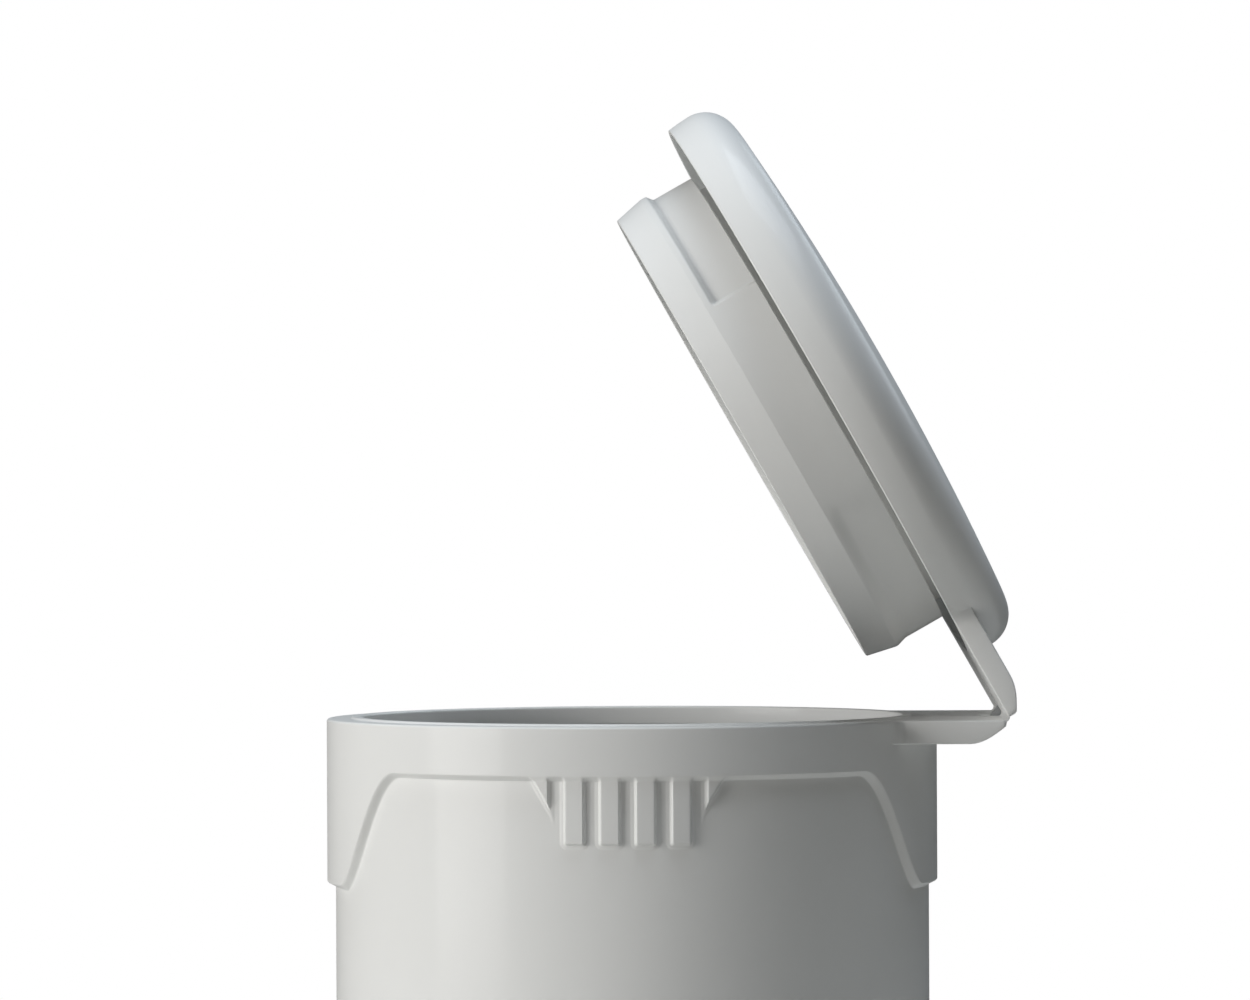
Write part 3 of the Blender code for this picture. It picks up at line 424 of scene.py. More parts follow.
def filleted(corners, steps=4):
    """A profile through (radius, height, fillet) corners, each rounded by its fillet."""
    points = []
    count = len(corners)
    for index, (x, y, fillet) in enumerate(corners):
        here = Vector((x, y))
        if fillet <= 0:
            points.append((x, y))
            continue
        before = (Vector(corners[index - 1][:2]) - here).normalized()
        after = (Vector(corners[(index + 1) % count][:2]) - here).normalized()
        half = before.angle(after) / 2
        reach = fillet / math.tan(half)
        centre = here + (before + after).normalized() * (fillet / math.sin(half))
        first, last = here + before * reach - centre, here + after * reach - centre
        turn = math.atan2(first.x * last.y - first.y * last.x, first.dot(last))
        for step in range(steps + 1):
            angle = turn * step / steps
            cos, sin = math.cos(angle), math.sin(angle)
            turned = (first.x * cos - first.y * sin, first.x * sin + first.y * cos)
            points.append((centre.x + turned[0], centre.y + turned[1]))
    return points


def pushed(name, outline, start, end, axis, sharp=SHARP_ANGLE):
    """An outline pushed along an axis: (x, z) along Y, (x, y) along Z, (y, z) along X."""
    order = {
        "X": lambda u, v, w: (w, u, v),
        "Y": lambda u, v, w: (u, w, v),
        "Z": lambda u, v, w: (u, v, w),
    }[axis]
    return woven(name, [[order(u, v, w) for u, v in outline] for w in (start, end)], wrap=False, sharp=sharp)


def block(name, low, high):
    outline = [(low[0], low[1]), (high[0], low[1]), (high[0], high[1]), (low[0], high[1])]
    return pushed(name, outline, low[2], high[2], "Z")


def round_outline(centre, radius, count=48):
    turns = [math.tau * step / count for step in range(count)]
    return [(centre[0] + radius * math.cos(a), centre[1] + radius * math.sin(a)) for a in turns]


def corners_at(radius):
    """The four places on a circle, half way between the axes."""
    reach = radius * math.sqrt(0.5)
    return [(reach, reach), (-reach, reach), (-reach, -reach), (reach, -reach)]


def apply_modifiers(obj):
    """Replaces the object's mesh with the one its modifiers make."""
    graph = bpy.context.evaluated_depsgraph_get()
    graph.update()
    made = bpy.data.meshes.new_from_object(obj.evaluated_get(graph))
    old = obj.data
    obj.modifiers.clear()
    obj.data = made
    bpy.data.meshes.remove(old)


def combine(obj, tools, operation):
    """Joins or cuts obj with tools, which are used up."""
    for tool in tools:
        step = obj.modifiers.new(tool.name, "BOOLEAN")
        step.object = tool
        step.operation = operation
        step.solver = "EXACT"
    apply_modifiers(obj)
    for tool in tools:
        bpy.data.objects.remove(tool, do_unlink=True)
    obj.data.set_sharp_from_angle(angle=math.radians(SHARP_ANGLE))


def bevelled(obj, width, segments=3):
    step = obj.modifiers.new("edge_round", "BEVEL")
    step.width = width
    step.segments = segments
    step.limit_method = "ANGLE"
    step.angle_limit = math.radians(40)
    step.use_clamp_overlap = True
    apply_modifiers(obj)
    obj.data.shade_smooth()
    obj.data.set_sharp_from_angle(angle=math.radians(50))


def settle(obj, finish, body, slot, *nodes):
    """Gives a finished piece its material, its body and the working solids it stands for."""
    obj.data.materials.clear()
    obj.data.materials.append(finish)
    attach(obj, body)
    if nodes:
        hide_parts(*nodes)
    return obj


def smoothstep(value):
    value = np.clip(value, 0.0, 1.0)
    return value * value * (3.0 - 2.0 * value)


def soft_min(first, second, reach):
    """The smaller of two distances, rounded where they meet."""
    share = np.clip(0.5 + 0.5 * (second - first) / reach, 0.0, 1.0)
    return second * (1 - share) + first * share - reach * share * (1 - share)


# The body


LUG_STARTS = 48.5
LUG_ENDS = 70.5
STEP_HALF = 0.0012
RIB_STEP_HALF = 0.00065
RIB_HALF = 0.0041
RIB_CORNER = 0.0009
RIB_HEIGHT = 0.0021
GUSSET_NEAR = 0.0318
GUSSET_FAR = 0.0388
GUSSET_END = 0.0314
RIM_ROUND = 0.0011
FLANGE_THICKNESS = 0.0026
MESH_STEP = 0.00042
LINK_WAY_DEPTH = 0.0082
COVER_SEAT_DEPTH = 0.0079
ABOVE_WAY = 0.0016
BLUNT_TIP = 0.0020
EDGE_ROUND = 0.0006
PAD_REACH = 0.0016
PAD_HALF_STEP = 0.00035
PAD_HEIGHT = 0.00025


def collar_depth(from_side, sizes):
    """Depth of the collar's lower edge below the rim, by the angle in degrees from the bin's side."""
    share = smoothstep((np.abs(from_side) - LUG_STARTS) / (LUG_ENDS - LUG_STARTS))
    return sizes.band_depth + (sizes.lug_depth - sizes.band_depth) * share


def wall_relief(from_side, depth, sizes):
    """How far the collar, ribs and gussets stand out of the plain wall."""
    sideways = COLLAR_RADIUS * np.radians(from_side)
    nudge = 0.25
    rise = collar_depth(from_side + nudge, sizes) - collar_depth(from_side - nudge, sizes)
    slope = rise / (2 * COLLAR_RADIUS * math.radians(nudge))
    collar = (depth - collar_depth(from_side, sizes)) / np.sqrt(1 + slope * slope) / STEP_HALF
    top = sizes.band_depth - 0.004
    middle = (top + sizes.rib_end) / 2
    half_length = (sizes.rib_end - top) / 2
    ribs = np.full_like(sideways, 1.0)
    for index in range(4):
        across = np.abs(sideways - (index - 1.5) * sizes.rib_pitch) - RIB_HALF + RIB_CORNER
        along = np.abs(depth - middle) - half_length + RIB_CORNER
        outside = np.hypot(np.maximum(across, 0), np.maximum(along, 0))
        rib = outside + np.minimum(np.maximum(across, along), 0) - RIB_CORNER
        ribs = rib if index == 0 else np.minimum(ribs, rib)
    width = GUSSET_FAR - GUSSET_NEAR
    height = GUSSET_END - sizes.band_depth
    length = math.hypot(width, height)
    near = GUSSET_NEAR - np.abs(sideways)
    lean = (height * (np.abs(sideways) - GUSSET_FAR) + width * (depth - sizes.band_depth)) / length
    gusset = -soft_min(-near, -lean, 0.0004)
    raised = soft_min(ribs, gusset, 0.0002)
    pad = PAD_HEIGHT * smoothstep(0.5 - (raised - PAD_REACH) / PAD_HALF_STEP / 2)
    low = pad + (RIB_HEIGHT - PAD_HEIGHT) * smoothstep(0.5 - raised / RIB_STEP_HALF / 2)
    full = COLLAR_RADIUS - sizes.body_radius
    share = smoothstep(0.5 - collar / 2)
    return full * share + low * (1 - share)


def side_angles():
    """Angles from one side's middle, in degrees, closer together where the relief is busy."""
    def millimetres(values):
        return [math.degrees(value / 1000 / COLLAR_RADIUS) for value in values]

    half = list(millimetres(np.arange(0.0, 44.0, 0.42)))
    half += list(np.arange(half[-1] + 0.6, LUG_STARTS - 2, 1.4))
    half += list(np.arange(LUG_STARTS - 1, LUG_ENDS + 1.5, 0.75))
    half += list(np.arange(LUG_ENDS + 2.5, 89.0, 1.5))
    return [-value for value in half[:0:-1]] + half + [90.0]


def body_rows(from_side, sizes):
    """The body's section, by the angle from its side: (radius, height), down the outside, up the inside."""
    edge = float(collar_depth(np.float64(from_side), sizes))
    bottom = RIM_HEIGHT - BODY_LOW.z
    near_edge = list(np.arange(edge - 0.0036, edge + 0.0150, MESH_STEP))
    below = list(np.arange(edge + 0.0160, edge + 0.0235, 0.0016))
    rib_ends = list(np.arange(edge + 0.0240, edge + 0.0285, MESH_STEP))
    rest = [rib_ends[-1] + (bottom - rib_ends[-1]) * share for share in (0.03, 0.1, 0.25, 0.5, 0.8, 1.0)]
    depths = np.array([0.0012, 0.005, 0.010, 0.015] + [edge - 0.0046] + near_edge + below + rib_ends + rest)
    relief = wall_relief(np.full_like(depths, from_side), depths, sizes)
    outside = [(sizes.body_radius + out, RIM_HEIGHT - depth) for out, depth in zip(relief, depths)]
    skirt_radius = sizes.lip_radius - 0.0007
    inside = filleted([
        (sizes.wall_inner_radius, BODY_LOW.z, 0), (sizes.wall_inner_radius, RIM_HEIGHT - FLANGE_THICKNESS, 0),
        (skirt_radius, RIM_HEIGHT - FLANGE_THICKNESS, 0),
        (skirt_radius, RIM_HEIGHT - sizes.mouth_skirt, 0.0004),
        (sizes.mouth_radius, RIM_HEIGHT - sizes.mouth_skirt, 0.0006),
        (sizes.mouth_radius, RIM_HEIGHT + LIP_RISE, 0.0010),
        (sizes.lip_radius + 0.0015, RIM_HEIGHT + LIP_RISE, 0.0008),
        (sizes.lip_radius + 0.0022, RIM_HEIGHT, 0.0006), (COLLAR_RADIUS, RIM_HEIGHT, 0),
    ], 5)[:-1]
    corner = (COLLAR_RADIUS - RIM_ROUND, RIM_HEIGHT - RIM_ROUND)
    return outside + inside + arc(corner, RIM_ROUND, 90, 12, 5)


def shelf_half_width(x, fillet, ring_radius, end):
    """Half the plan width of shelf or tab: round wall, fillet, straight side, rounded end corner."""
    centre_x = math.sqrt((ring_radius + fillet) ** 2 - (TAB_HALF_WIDTH + fillet) ** 2)
    touch_x = centre_x * ring_radius / (ring_radius + fillet)
    corner = 0.0015
    if x < touch_x:
        return math.sqrt(ring_radius ** 2 - x * x) - 0.0004
    if x < centre_x:
        return TAB_HALF_WIDTH + fillet - math.sqrt(fillet ** 2 - (x - centre_x) ** 2)
    if x > end - corner:
        return TAB_HALF_WIDTH - corner + math.sqrt(max(0.0, corner ** 2 - (x - end + corner) ** 2))
    return TAB_HALF_WIDTH


def rounded_section(x, half, low, high, radius):
    """A rounded upright rectangle across X, as points."""
    radius = max(0.00002, min(radius, (high - low) / 2 * 0.98))
    corners = [(half, low, radius), (half, high, radius), (-half, high, radius), (-half, low, radius)]
    return [(x, y, z) for y, z in filleted(corners, 4)]


def lofted_plate(name, stations, heights, fillet, ring_radius, end, edge):
    """A plate along X whose section follows the plan outline and the (low, high) heights at each station."""
    rings = []
    for x in stations:
        low, high = heights(x)
        rings.append(rounded_section(x, shelf_half_width(x, fillet, ring_radius, end), low, high, edge))
    return woven(name, rings, wrap=False)


def plate_stations(fillet, ring_radius, end, curve):
    """Stations along X, closer together on the fillet, the curve and the end corner."""
    centre_x = math.sqrt((ring_radius + fillet) ** 2 - (TAB_HALF_WIDTH + fillet) ** 2)
    touch_x = centre_x * ring_radius / (ring_radius + fillet)
    turns = np.linspace(0, math.pi / 2, 14)
    stations = [0.085, touch_x - 0.004]
    stations += list(touch_x + (centre_x - touch_x) * np.linspace(0, 1, 10))
    stations += list(np.linspace(centre_x, end - curve, 4)[1:])
    stations += list(end - curve + curve * np.sin(turns)[1:])
    return stations


def mouth_cutter(radius, low, high):
    """A plain drum that clears the mouth of the body."""
    return pushed("cut_round", round_outline((0.0, 0.0), radius, 192), low, high, "Z")


def hinge_shelf(sizes):
    """The shelf on the body that carries the hinge line and hides the pull link."""
    curve = 0.0149

    def heights(x):
        share = min(1.0, max(0.0, (SHELF_END - x) / curve))
        blunt = BLUNT_TIP * min(1.0, (SHELF_END - x) / 0.0004)
        depth = blunt + (sizes.shelf_thickness - BLUNT_TIP) * math.sin(share * math.pi / 2)
        return RIM_HEIGHT - max(depth, 0.0003), RIM_HEIGHT + 0.00001

    stations = plate_stations(sizes.side_fillet, COLLAR_RADIUS, SHELF_END, curve)
    plan = (sizes.side_fillet, COLLAR_RADIUS, SHELF_END)
    shelf = lofted_plate("hinge_shelf", stations, heights, *plan, EDGE_ROUND)
    rim = RIM_HEIGHT
    half = NOTCH_HALF_WIDTH
    way_top = rim - ABOVE_WAY
    tools = [
        mouth_cutter(0.1221, rim - 0.03, rim + 0.03),
        block("link_way", (0.1150, -half, rim - LINK_WAY_DEPTH), (0.1440, half, way_top)),
        block("notch_under", (0.1370, -half, rim - 0.0120), (0.1600, half, way_top)),
        block("notch", (0.1425, -half, rim - 0.0020), (0.1600, half, rim + 0.0020)),
        block("cover_seat", (0.1262, -0.0098, rim - 0.0120), (0.1372, 0.0098, rim - COVER_SEAT_DEPTH)),
    ]
    for index, y in enumerate((-0.0075, 0.0075)):
        hole = round_outline((0.1318, y), 0.0011, 20)
        tools.append(pushed(f"cover_hole_{index}", hole, rim - 0.0085, rim - 0.0035, "Z"))
    combine(shelf, tools, "DIFFERENCE")
    return shelf


def body_shell_piece(sizes):
    """The body with its collar, ribs and gussets in one moulding."""
    angles = side_angles()
    rings = []
    for side in (-1, 1):
        for from_side in (-side * value for value in angles[1:]):
            turn = math.radians(from_side)
            east, north = math.sin(turn), side * math.cos(turn)
            rings.append([(r * east, r * north, z) for r, z in body_rows(from_side, sizes)])
    body = woven("moulded_body", rings)
    rim = RIM_HEIGHT
    half = NOTCH_HALF_WIDTH
    combine(body, [
        block("crank_room", (0.1128, -0.0125, rim - 0.0310), (0.1226, 0.0125, rim - 0.0160)),
        block("link_riser", (0.1128, -half, rim - 0.0170), (0.1226, half, rim - ABOVE_WAY)),
        block("link_window", (0.1220, -half, rim - LINK_WAY_DEPTH), (0.1300, half, rim - ABOVE_WAY)),
        block("pedal_slot", (-0.1300, -0.0125, 0.0), (-0.1100, 0.0125, 0.0465)),
    ], "DIFFERENCE")
    return body


class BIN_OT_body(Operator):
    """Makes the moulded body with its collar, ribs, mouth lip and hinge shelf"""

    bl_idname = "bin.body"
    bl_label = "Moulded Body"

    def execute(self, context):
        sizes = context.scene.bin_sizes
        settle(body_shell_piece(sizes), white_plastic(), "root", "white_plastic", "body_shell")
        settle(hinge_shelf(sizes), white_plastic(), "root", "white_plastic")
        return {"FINISHED"}


# The lid. Its pieces are drawn shut, from the centre of the lid's rim plane, and then swung open.


def swing_open(obj):
    """Moves a piece from the lid's own shut frame to its place with the lid open."""
    lift = Matrix.Translation((-HINGE.x, 0.0, RIM_HEIGHT + LID_LIFT - HINGE.z))
    turn = Matrix.Rotation(LID_OPEN, 4, "Y")
    obj.data.transform(Matrix.Translation(HINGE) @ turn @ lift)
    return obj


SHOULDER_RADIUS = 0.0140
SHOULDER_HEIGHT = 0.0101
SHOULDER_TURN = 84.0
DOME_RISE = 0.0051
FOOT_ROUND = 0.0005
SCREW_CIRCLE = 0.0920


def lid_profile(sizes):
    """The lid's closed section from the crown, down the outside and up the inside."""
    centre = (sizes.lid_widest - SHOULDER_RADIUS, SHOULDER_HEIGHT)
    shoulder = arc(centre, SHOULDER_RADIUS, SHOULDER_TURN, 0, 28)
    edge, base = shoulder[0]
    shares = np.linspace(0, 1, 14)[:-1]
    crown = [(edge * s, base + DOME_RISE * (1 - s * s)) for s in shares]
    rim = arc((sizes.lid_rim_radius - 0.0006, 0.0006), 0.0006, 0, -90, 4)
    inner_rim = sizes.lid_rim_radius - sizes.lid_wall
    rim += arc((inner_rim + FOOT_ROUND, FOOT_ROUND), FOOT_ROUND, -90, -180, 4)
    inner = arc(centre, SHOULDER_RADIUS - sizes.lid_wall, 0, SHOULDER_TURN, 12)
    inner_edge, inner_base = inner[-1]
    ceiling = [(inner_edge * s, inner_base + DOME_RISE * (1 - s * s)) for s in shares[::-1]]
    return crown + shoulder + [(sizes.lid_widest - 0.0003, 0.0050)] + rim + inner + ceiling


def lid_tab(sizes):
    """The tab that carries the lid, its top falling towards the hinge line."""
    curve = 0.0200
    end_height = 0.0036
    slope = 0.56

    def heights(x):
        from_tip = max(0.0, SHELF_END - x)
        high = soft_min(sizes.tab_thickness, end_height + slope * from_tip, 0.0030)
        return 0.00002, high - 0.0008 * max(0.0, 1 - from_tip / 0.0006) ** 2

    radius = sizes.lid_rim_radius + 0.0003
    stations = plate_stations(sizes.side_fillet, radius, SHELF_END, curve)
    plan = (sizes.side_fillet, radius, SHELF_END)
    tab = lofted_plate("lid_hinge_tab", stations, heights, *plan, EDGE_ROUND)
    seat = block("crank_seat", (HINGE.x - 0.0163, -0.0043, -0.002), (HINGE.x + 0.002, 0.0043, 0.0030))
    tools = [mouth_cutter(0.1229, -0.03, 0.03), seat]
    for index, x in enumerate((-0.0080, -0.0130)):
        hole = round_outline((HINGE.x + x, 0.0), 0.0013, 20)
        tools.append(pushed(f"crank_hole_{index}", hole, 0.0018, 0.0074, "Z"))
    combine(tab, tools, "DIFFERENCE")
    return tab


PLUG_CENTRE = 0.0006
PLUG_LEDGE = 0.0210
PLUG_BEAD_END = 0.0240
PLUG_WALL = 0.0026
NECK_FRONT_HALF = 61.0
NECK_HINGE_HALF = 64.0
RECESS_DEPTH = 0.0015
RECESS_RADIUS = 0.0968


def plug_radius(angle, z, sizes):
    """The plug ring's outside radius: waisted at front and hinge, tapering below the bead."""
    turn = abs(math.remainder(angle, 360.0))
    at_hinge = math.radians(NECK_HINGE_HALF - turn) * sizes.bead_radius
    at_front = math.radians(turn - (180.0 - NECK_FRONT_HALF)) * sizes.bead_radius
    above = z + PLUG_LEDGE
    front = float(smoothstep(0.5 + at_front / 0.0034) * smoothstep(0.5 + (above - 0.0006) / 0.0030))
    hinge = float(smoothstep(0.5 + at_hinge / 0.0140) * smoothstep(0.5 + above / 0.0060))
    full_waist = sizes.bead_radius - sizes.neck_radius
    waist = full_waist * front + (sizes.bead_radius - sizes.hinge_neck_radius) * hinge
    share = max(0.0, -z - PLUG_BEAD_END) / (sizes.plug_depth - PLUG_BEAD_END)
    return sizes.bead_radius - waist - full_waist * share


def plug_ring(sizes):
    """The ring that reaches into the mouth, with a dark gap between its wall and the lid's skirt."""
    front_ends = [180 - NECK_FRONT_HALF, 180 + NECK_FRONT_HALF]
    angles = set(np.arange(0.0, 360.0, 2.0).round(4))
    for end in front_ends:
        angles |= set(np.arange(end - 1.4, end + 1.4, 0.17).round(4))
    heights = [-RECESS_DEPTH - 0.0004, -0.0060, -0.0100, -0.0140]
    heights += list(np.arange(-0.0165, -0.0252, -0.0003))
    heights += [-0.0280, -0.0320, -0.0350, -sizes.plug_depth + 0.0004]
    inner = sizes.neck_radius - PLUG_WALL
    bottom = -sizes.plug_depth
    foot = arc((sizes.neck_radius - FOOT_ROUND, bottom + FOOT_ROUND), FOOT_ROUND, 0, -90, 3)
    foot += arc((inner + FOOT_ROUND, bottom + FOOT_ROUND), FOOT_ROUND, -90, -180, 3)
    hidden_inner = RECESS_RADIUS - PLUG_WALL
    root = [
        (inner, -RECESS_DEPTH - 0.0024), (hidden_inner, -RECESS_DEPTH - 0.0024), (hidden_inner, 0.0165),
        (hidden_inner - 0.0015, 0.0180), (0.0825, 0.0180), (0.0820, 0.0185), (0.0820, 0.0202),
        (0.0823, 0.0205), (RECESS_RADIUS - 0.0010, 0.0205), (RECESS_RADIUS, 0.0195),
        (RECESS_RADIUS, -RECESS_DEPTH),
    ]
    rings = []
    for angle in sorted(angles):
        outside = [(plug_radius(angle, z, sizes), z) for z in heights]
        shoulder = [(outside[0][0] - 0.0004, -RECESS_DEPTH)]
        turn = math.radians(angle)
        section = shoulder + outside + foot + root
        rings.append([(PLUG_CENTRE + r * math.cos(turn), r * math.sin(turn), z) for r, z in section])
    plug = woven("plug_ring", rings, sharp=30.0)
    tools = []
    for index, place in enumerate(corners_at(SCREW_CIRCLE)):
        hole = round_outline(place, 0.0016, 20)
        tools.append(pushed(f"plug_hole_{index}", hole, 0.0150, 0.0300, "Z"))
    combine(plug, tools, "DIFFERENCE")
    return plug


def screw_bosses():
    """The four short bosses under the dome that the plug ring is screwed to."""
    pieces = []
    for index, (x, y) in enumerate(corners_at(SCREW_CIRCLE), 1):
        boss = revolved(f"screw_boss_{index}", [
            (0.0014, 0.0208), (0.0041, 0.0208), (0.0045, 0.0212), (0.0047, 0.0242), (0.0014, 0.0242),
        ], 32)
        boss.data.transform(Matrix.Translation((x, y, 0.0)))
        pieces.append(boss)
    return pieces


class BIN_OT_lid(Operator):
    """Makes the domed lid, its hinge tab and the plug ring under it"""

    bl_idname = "bin.lid"
    bl_label = "Flip Lid"

    def execute(self, context):
        sizes = context.scene.bin_sizes
        cover = swing_open(revolved("lid_cover", lid_profile(sizes)))
        settle(cover, white_plastic(), "lid", "white_plastic", "lid_shell")
        settle(swing_open(lid_tab(sizes)), white_plastic(), "lid", "white_plastic")
        settle(swing_open(plug_ring(sizes)), white_plastic(), "lid", "white_plastic", "lid_plug")
        for boss in screw_bosses():
            settle(swing_open(boss), white_plastic(), "lid", "white_plastic")
        return {"FINISHED"}


class BIN_OT_hinge_film(Operator):
    """Makes the two thin films that join the shelf and the tab along the hinge line"""

    bl_idname = "bin.hinge_film"
    bl_label = "Hinge Films"

    def execute(self, context):
        root_back, root_down = 0.0016, 0.0006
        shut = Vector((-root_back, 0.0, -root_down))
        turn = Matrix.Rotation(LID_OPEN, 3, "Y")
        opened = turn @ Vector((-root_back, 0.0, root_down))
        outward = Vector((0.0016, 0.0, -0.0010)).normalized()
        for side, node in ((-1, "hinge_film_left"), (1, "hinge_film_right")):
            low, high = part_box(node)
            stations = np.linspace(low.y, high.y, 60)
            half_thick = 0.00035
            furthest_bow = 0.0004
            path = []
            for share in np.linspace(0, 1, 11):
                bow = math.sin(share * math.pi) * furthest_bow
                path.append(shut.lerp(opened, share) + outward * bow)
            section = []
            for index, point in enumerate(path):
                ahead = path[min(index + 1, len(path) - 1)] - path[max(index - 1, 0)]
                normal = Vector((ahead.z, 0.0, -ahead.x)).normalized()
                section.append((point + normal * half_thick, point - normal * half_thick))
            loop = [pair[0] for pair in section] + [pair[1] for pair in section[::-1]]
            rings = [[(HINGE.x + p.x, y, HINGE.z + p.z) for p in loop] for y in stations]
            film = woven(f"living_hinge_{'left' if side < 0 else 'right'}", rings, wrap=False)
            film.data.materials.append(white_plastic())
            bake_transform(film)
            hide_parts(node)
        return {"FINISHED"}


# Inside and underneath


class BIN_OT_bucket(Operator):
    """Makes the lift-out bucket with its turned rim and the stand it rests on"""

    bl_idname = "bin.bucket"
    bl_label = "Bucket and Stand"

    def execute(self, context):
        floor, top = BUCKET_LOW.z, BUCKET_HIGH.z
        step = RIM_HEIGHT - 0.0460
        bucket = revolved("bucket", [(0.0, floor + 0.0030), (0.0300, floor + 0.0026)] + filleted([
            (0.0960, floor + 0.0020, 0.0030), (0.1056, step - 0.0040, 0.0020), (0.1068, step, 0.0012),
            (0.1068, top, 0.0005), (0.1098, top, 0.0006), (0.1098, top - 0.0030, 0.0003),
            (0.1092, top - 0.0030, 0.0002), (0.1092, top - 0.0014, 0.0002), (0.1082, top - 0.0014, 0.0003),
            (0.1082, step, 0.0012), (0.1070, step - 0.0040, 0.0020), (0.0975, floor, 0.0035),
            (0.0900, floor, 0.0006), (0.0895, floor + 0.0008, 0.0006),
        ], 4)[:-5] + [(0.0880, floor + 0.0006), (0.0, floor + 0.0010)])
        settle(bucket, bucket_plastic(), "root", "bucket_plastic", "inner_bucket")
        dress(frame["nodes"]["bucket_stand"], base_plastic())
        return {"FINISHED"}


def dress(node, finish):
    """Give a kept solid its finish."""
    node.data.materials.clear()
    node.data.materials.append(finish)


class BIN_OT_base(Operator):
    """Makes the base ring and the four rubber feet, and finishes the base plate"""

    bl_idname = "bin.base"
    bl_label = "Base and Feet"

    def execute(self, context):
        low, high, radius = RING_LOW.z, RING_HIGH.z, RING_HIGH.x
        ring = revolved("base_band", filleted([
            (0.1080, low, 0.0004), (radius, low, 0.0012), (radius, high, 0.0009), (0.1222, high, 0.0003),
            (0.1222, 0.0120, 0.0), (0.1162, 0.0120, 0.0004), (0.1162, 0.0050, 0.0), (0.1080, 0.0050, 0.0004),
        ], 5))
        tools = [block("ring_slot", (-0.1300, -0.0130, 0.0095), (-0.1100, 0.0130, 0.0300))]
        for index, place in enumerate(corners_at(0.1100)):
            tools.append(pushed(f"ring_hole_{index}", round_outline(place, 0.0018, 24), 0.0, 0.0070, "Z"))
        combine(ring, tools, "DIFFERENCE")
        settle(ring, base_plastic(), "root", "grey_plastic", "base_ring")
        dress(frame["nodes"]["base_plate"], base_plastic())
        for index, (x, y) in enumerate(corners_at(0.0960), 1):
            foot = revolved(f"rubber_foot_{index}", [(0.0, 0.0096), (0.0020, 0.0096)] + filleted([
                (0.0028, 0.0094, 0.0005), (0.0034, 0.0084, 0.0003), (0.0025, 0.0083, 0.0),
                (0.0025, 0.0050, 0.0), (0.0100, 0.0050, 0.0006), (0.0094, 0.0, 0.0008),
                (0.0060, 0.0, 0.0003), (0.0056, 0.0006, 0.0003),
            ], 4)[:-2] + [(0.0, 0.0008)], 48)
            foot.data.transform(Matrix.Translation((x, y, 0.0)))
            settle(foot, black_rubber(), "root", "rubber", f"foot_{index}")
        return {"FINISHED"}


# The pedal. It is drawn level from its pivot and then tilted.


PEDAL_DOWN = math.radians(3.5)
PAD_NEAR = -0.1940
PAD_TIP = -0.2230
PAD_HALF = 0.0310
PAD_CORNER = 0.0080


def tilt_pedal(obj):
    """Turn a piece drawn level about the axle to the pressed pedal's tilt."""
    obj.data.transform(Matrix.Translation(PEDAL_PIVOT) @ Matrix.Rotation(-PEDAL_DOWN, 4, "Y"))
    return obj


def pad_outline(inset=0.0):
    """The foot pad's outline, drawn in by an inset."""
    near, tip = PAD_NEAR - inset, PAD_TIP + inset
    half, corner = PAD_HALF - inset, PAD_CORNER - inset
    return filleted([
        (near, half, corner), (tip, half, corner), (tip, -half, corner), (near, -half, corner),
    ], 10)


def pedal_lever_piece():
    """The pressed steel lever with its bore for the axle."""
    half = 0.0025
    lever = block("lever_bar", (PAD_NEAR - 0.02, -0.0090, -half), (0.0470, 0.0090, half))
    combine(lever, [
        pushed("lever_pad", pad_outline(), -half - 0.0001, half + 0.0001, "Z"),
        pushed("lever_hub", round_outline((0.0, 0.0), 0.0062, 48), -0.0110, 0.0110, "Y"),
    ], "UNION")
    bore = pushed("lever_bore", round_outline((0.0, 0.0), 0.0033, 40), -0.02, 0.02, "Y")
    combine(lever, [bore], "DIFFERENCE")
    bevelled(lever, 0.0006, 3)
    return lever


def tread_piece():
    """A rubber pad with raised cross ribs."""
    base = 0.0029
    tread = pushed("tread_pad", pad_outline(0.0015), base, base + 0.0016, "Z")
    bevelled(tread, 0.0004, 2)
    ribs = []
    for index in range(6):
        x = PAD_NEAR - 0.0052 + (PAD_TIP - PAD_NEAR + 0.0104) * index / 5
        rib = pushed(f"tread_rib_{index}", filleted([
            (x - 0.0013, base + 0.0010, 0), (x - 0.0010, base + 0.0026, 0.0005),
            (x + 0.0010, base + 0.0026, 0.0005), (x + 0.0013, base + 0.0010, 0),
        ], 4), -0.0245, 0.0245, "Y")
        ribs.append(rib)
    combine(tread, ribs, "UNION")
    return tread


class BIN_OT_pedal(Operator):
    """Makes the pedal lever and its ribbed rubber tread"""

    bl_idname = "bin.pedal"
    bl_label = "Pedal"

    def execute(self, context):
        settle(tilt_pedal(pedal_lever_piece()), plated_steel(), "pedal", "steel", "pedal_lever")
        settle(tilt_pedal(tread_piece()), black_rubber(), "pedal", "rubber", "pedal_tread")
        return {"FINISHED"}


class BIN_OT_linkage(Operator):
    """Finishes the working solids of the linkage, its fasteners, the guide and the shelf cover"""

    bl_idname = "bin.linkage"
    bl_label = "Linkage"

    def execute(self, context):
        slots = {part["node"]: part["material_slot"] for part in frame["record"]["subparts"]}
        finishes = {
            "steel": plated_steel, "grey_plastic": base_plastic, "white_plastic": white_plastic,
            "bucket_plastic": bucket_plastic, "rubber": black_rubber,
        }
        for name, node in frame["nodes"].items():
            if not node.hide_render:
                dress(node, finishes[slots[name]]())
        return {"FINISHED"}


# Stage, light and camera


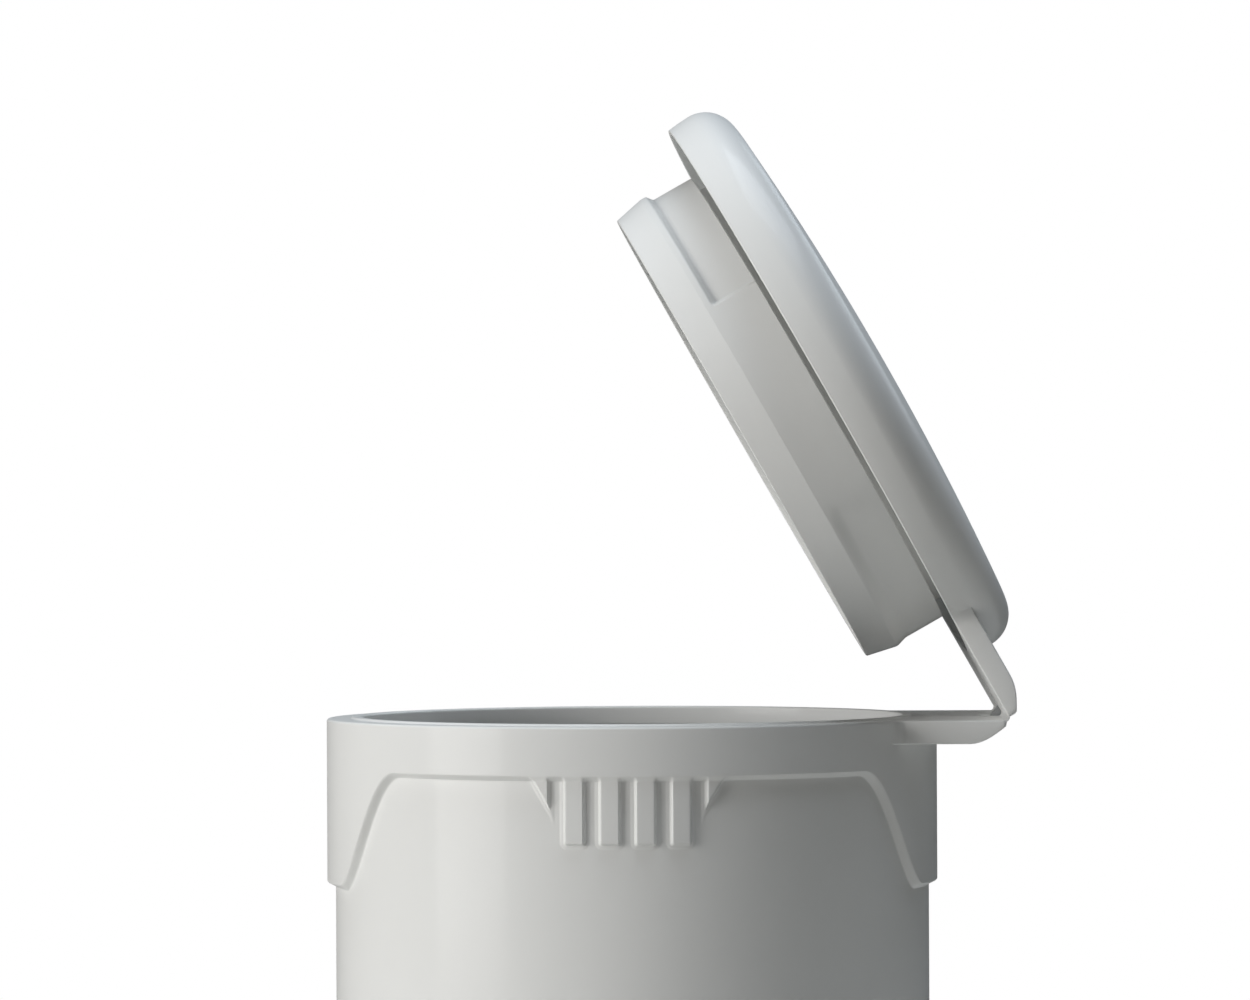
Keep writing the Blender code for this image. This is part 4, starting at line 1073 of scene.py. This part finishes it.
def area_light(name, place, target, size, power, tint=(1.0, 1.0, 1.0)):
    """A rectangular light that faces a target."""
    data = bpy.data.lights.new(name, "AREA")
    data.shape = "RECTANGLE"
    data.size, data.size_y = size
    data.energy = power
    data.color = tint
    obj = bpy.data.objects.new(name, data)
    obj.location = place
    obj.rotation_euler = (Vector(target) - Vector(place)).to_track_quat("-Z", "Y").to_euler()
    bpy.context.scene.collection.objects.link(obj)
    return obj


def studio_world():
    """White to the eye and a soft grey to the object."""
    world = bpy.data.worlds.new("studio")
    world.use_nodes = True
    tree = world.node_tree
    background = tree.nodes["Background"]
    background.inputs["Color"].default_value = (1.0, 1.0, 1.0, 1.0)
    path = tree.nodes.new("ShaderNodeLightPath")
    strength = ramp_node(tree, path.outputs["Is Camera Ray"], 0.0, 1.0, 0.02, 1.0)
    tree.links.new(strength, background.inputs["Strength"])
    bpy.context.scene.world = world


def studio_camera():
    """The camera, level with the rim and a little above it."""
    data = bpy.data.cameras.new("camera")
    data.sensor_width = 36.0
    data.lens = 172.8
    data.clip_end = 50.0
    camera = bpy.data.objects.new("camera", data)
    camera.location = (0.0351, -2.4625, RIM_HEIGHT + 0.0820)
    forward = Vector((-0.0152, 0.9998, 0.0028))
    roll = Quaternion((0.0, 0.0, 1.0), -0.0045)
    camera.rotation_euler = (forward.to_track_quat("-Z", "Y") @ roll).to_euler()
    bpy.context.scene.collection.objects.link(camera)
    bpy.context.scene.camera = camera


class BIN_OT_stage(Operator):
    """Sets the pale floor, the soft studio light and the camera"""

    bl_idname = "bin.stage"
    bl_label = "Stage"

    def execute(self, context):
        radius = context.scene.bin_sizes.floor_radius
        section = [(0.0, -0.0002), (radius - 0.004, -0.0002), (radius, -0.004), (0.0, -0.004)]
        floor = revolved("floor", section, 128)
        tint = tuple(context.scene.bin_colours.floor)
        finish = finish_of("pale_floor", tint, 0.6, grain=60.0, bump=0.0001, drift=2.0, dust=0.0)
        floor.data.materials.append(finish)
        studio_world()
        context.scene.view_settings.view_transform = "Standard"
        middle = (0.0, 0.0, RIM_HEIGHT)
        area_light("key_left", (-2.15, -1.10, 0.9), middle, (1.4, 1.6), 45.0, (1.0, 0.99, 0.97))
        area_light("fill_front", (0.6, -2.7, 1.2), middle, (1.6, 1.2), 1.5, (1.0, 0.95, 0.88))
        area_light("rim_back", (1.3, 1.5, 1.5), (0.0, 0.0, 0.5), (1.6, 0.8), 6.0, (0.80, 0.90, 1.0))
        area_light("top_soft", (0.25, -0.05, 2.3), (0.1, 0.0, 0.5), (1.5, 1.5), 30.0, (0.86, 0.93, 1.0))
        studio_camera()
        return {"FINISHED"}


class BIN_PT_panel(Panel):
    """Lists the pieces of the bin"""

    bl_idname = "BIN_PT_panel"
    bl_label = "Pedal Bin"
    bl_space_type = "VIEW_3D"
    bl_region_type = "UI"
    bl_category = "Pedal Bin"

    def draw(self, context):
        for operator in OPERATORS:
            self.layout.operator(operator.bl_idname)
        for group in (context.scene.bin_sizes, context.scene.bin_colours):
            column = self.layout.column()
            for name in group.bl_rna.properties.keys():
                if name not in ("rna_type", "name"):
                    column.prop(group, name)


OPERATORS = (BIN_OT_body, BIN_OT_lid, BIN_OT_hinge_film, BIN_OT_bucket, BIN_OT_base, BIN_OT_pedal,
             BIN_OT_linkage, BIN_OT_stage)
CLASSES = (BinSizes, BinColours) + OPERATORS + (BIN_PT_panel,)


def register():
    for cls in CLASSES:
        bpy.utils.register_class(cls)
    bpy.types.Scene.bin_sizes = PointerProperty(type=BinSizes)
    bpy.types.Scene.bin_colours = PointerProperty(type=BinColours)


def unregister():
    del bpy.types.Scene.bin_colours
    del bpy.types.Scene.bin_sizes
    for cls in reversed(CLASSES):
        bpy.utils.unregister_class(cls)


def main():
    register()
    for operator in OPERATORS:
        group, name = operator.bl_idname.split(".")
        getattr(getattr(bpy.ops, group), name)()


if __name__ == "__main__":
    main()
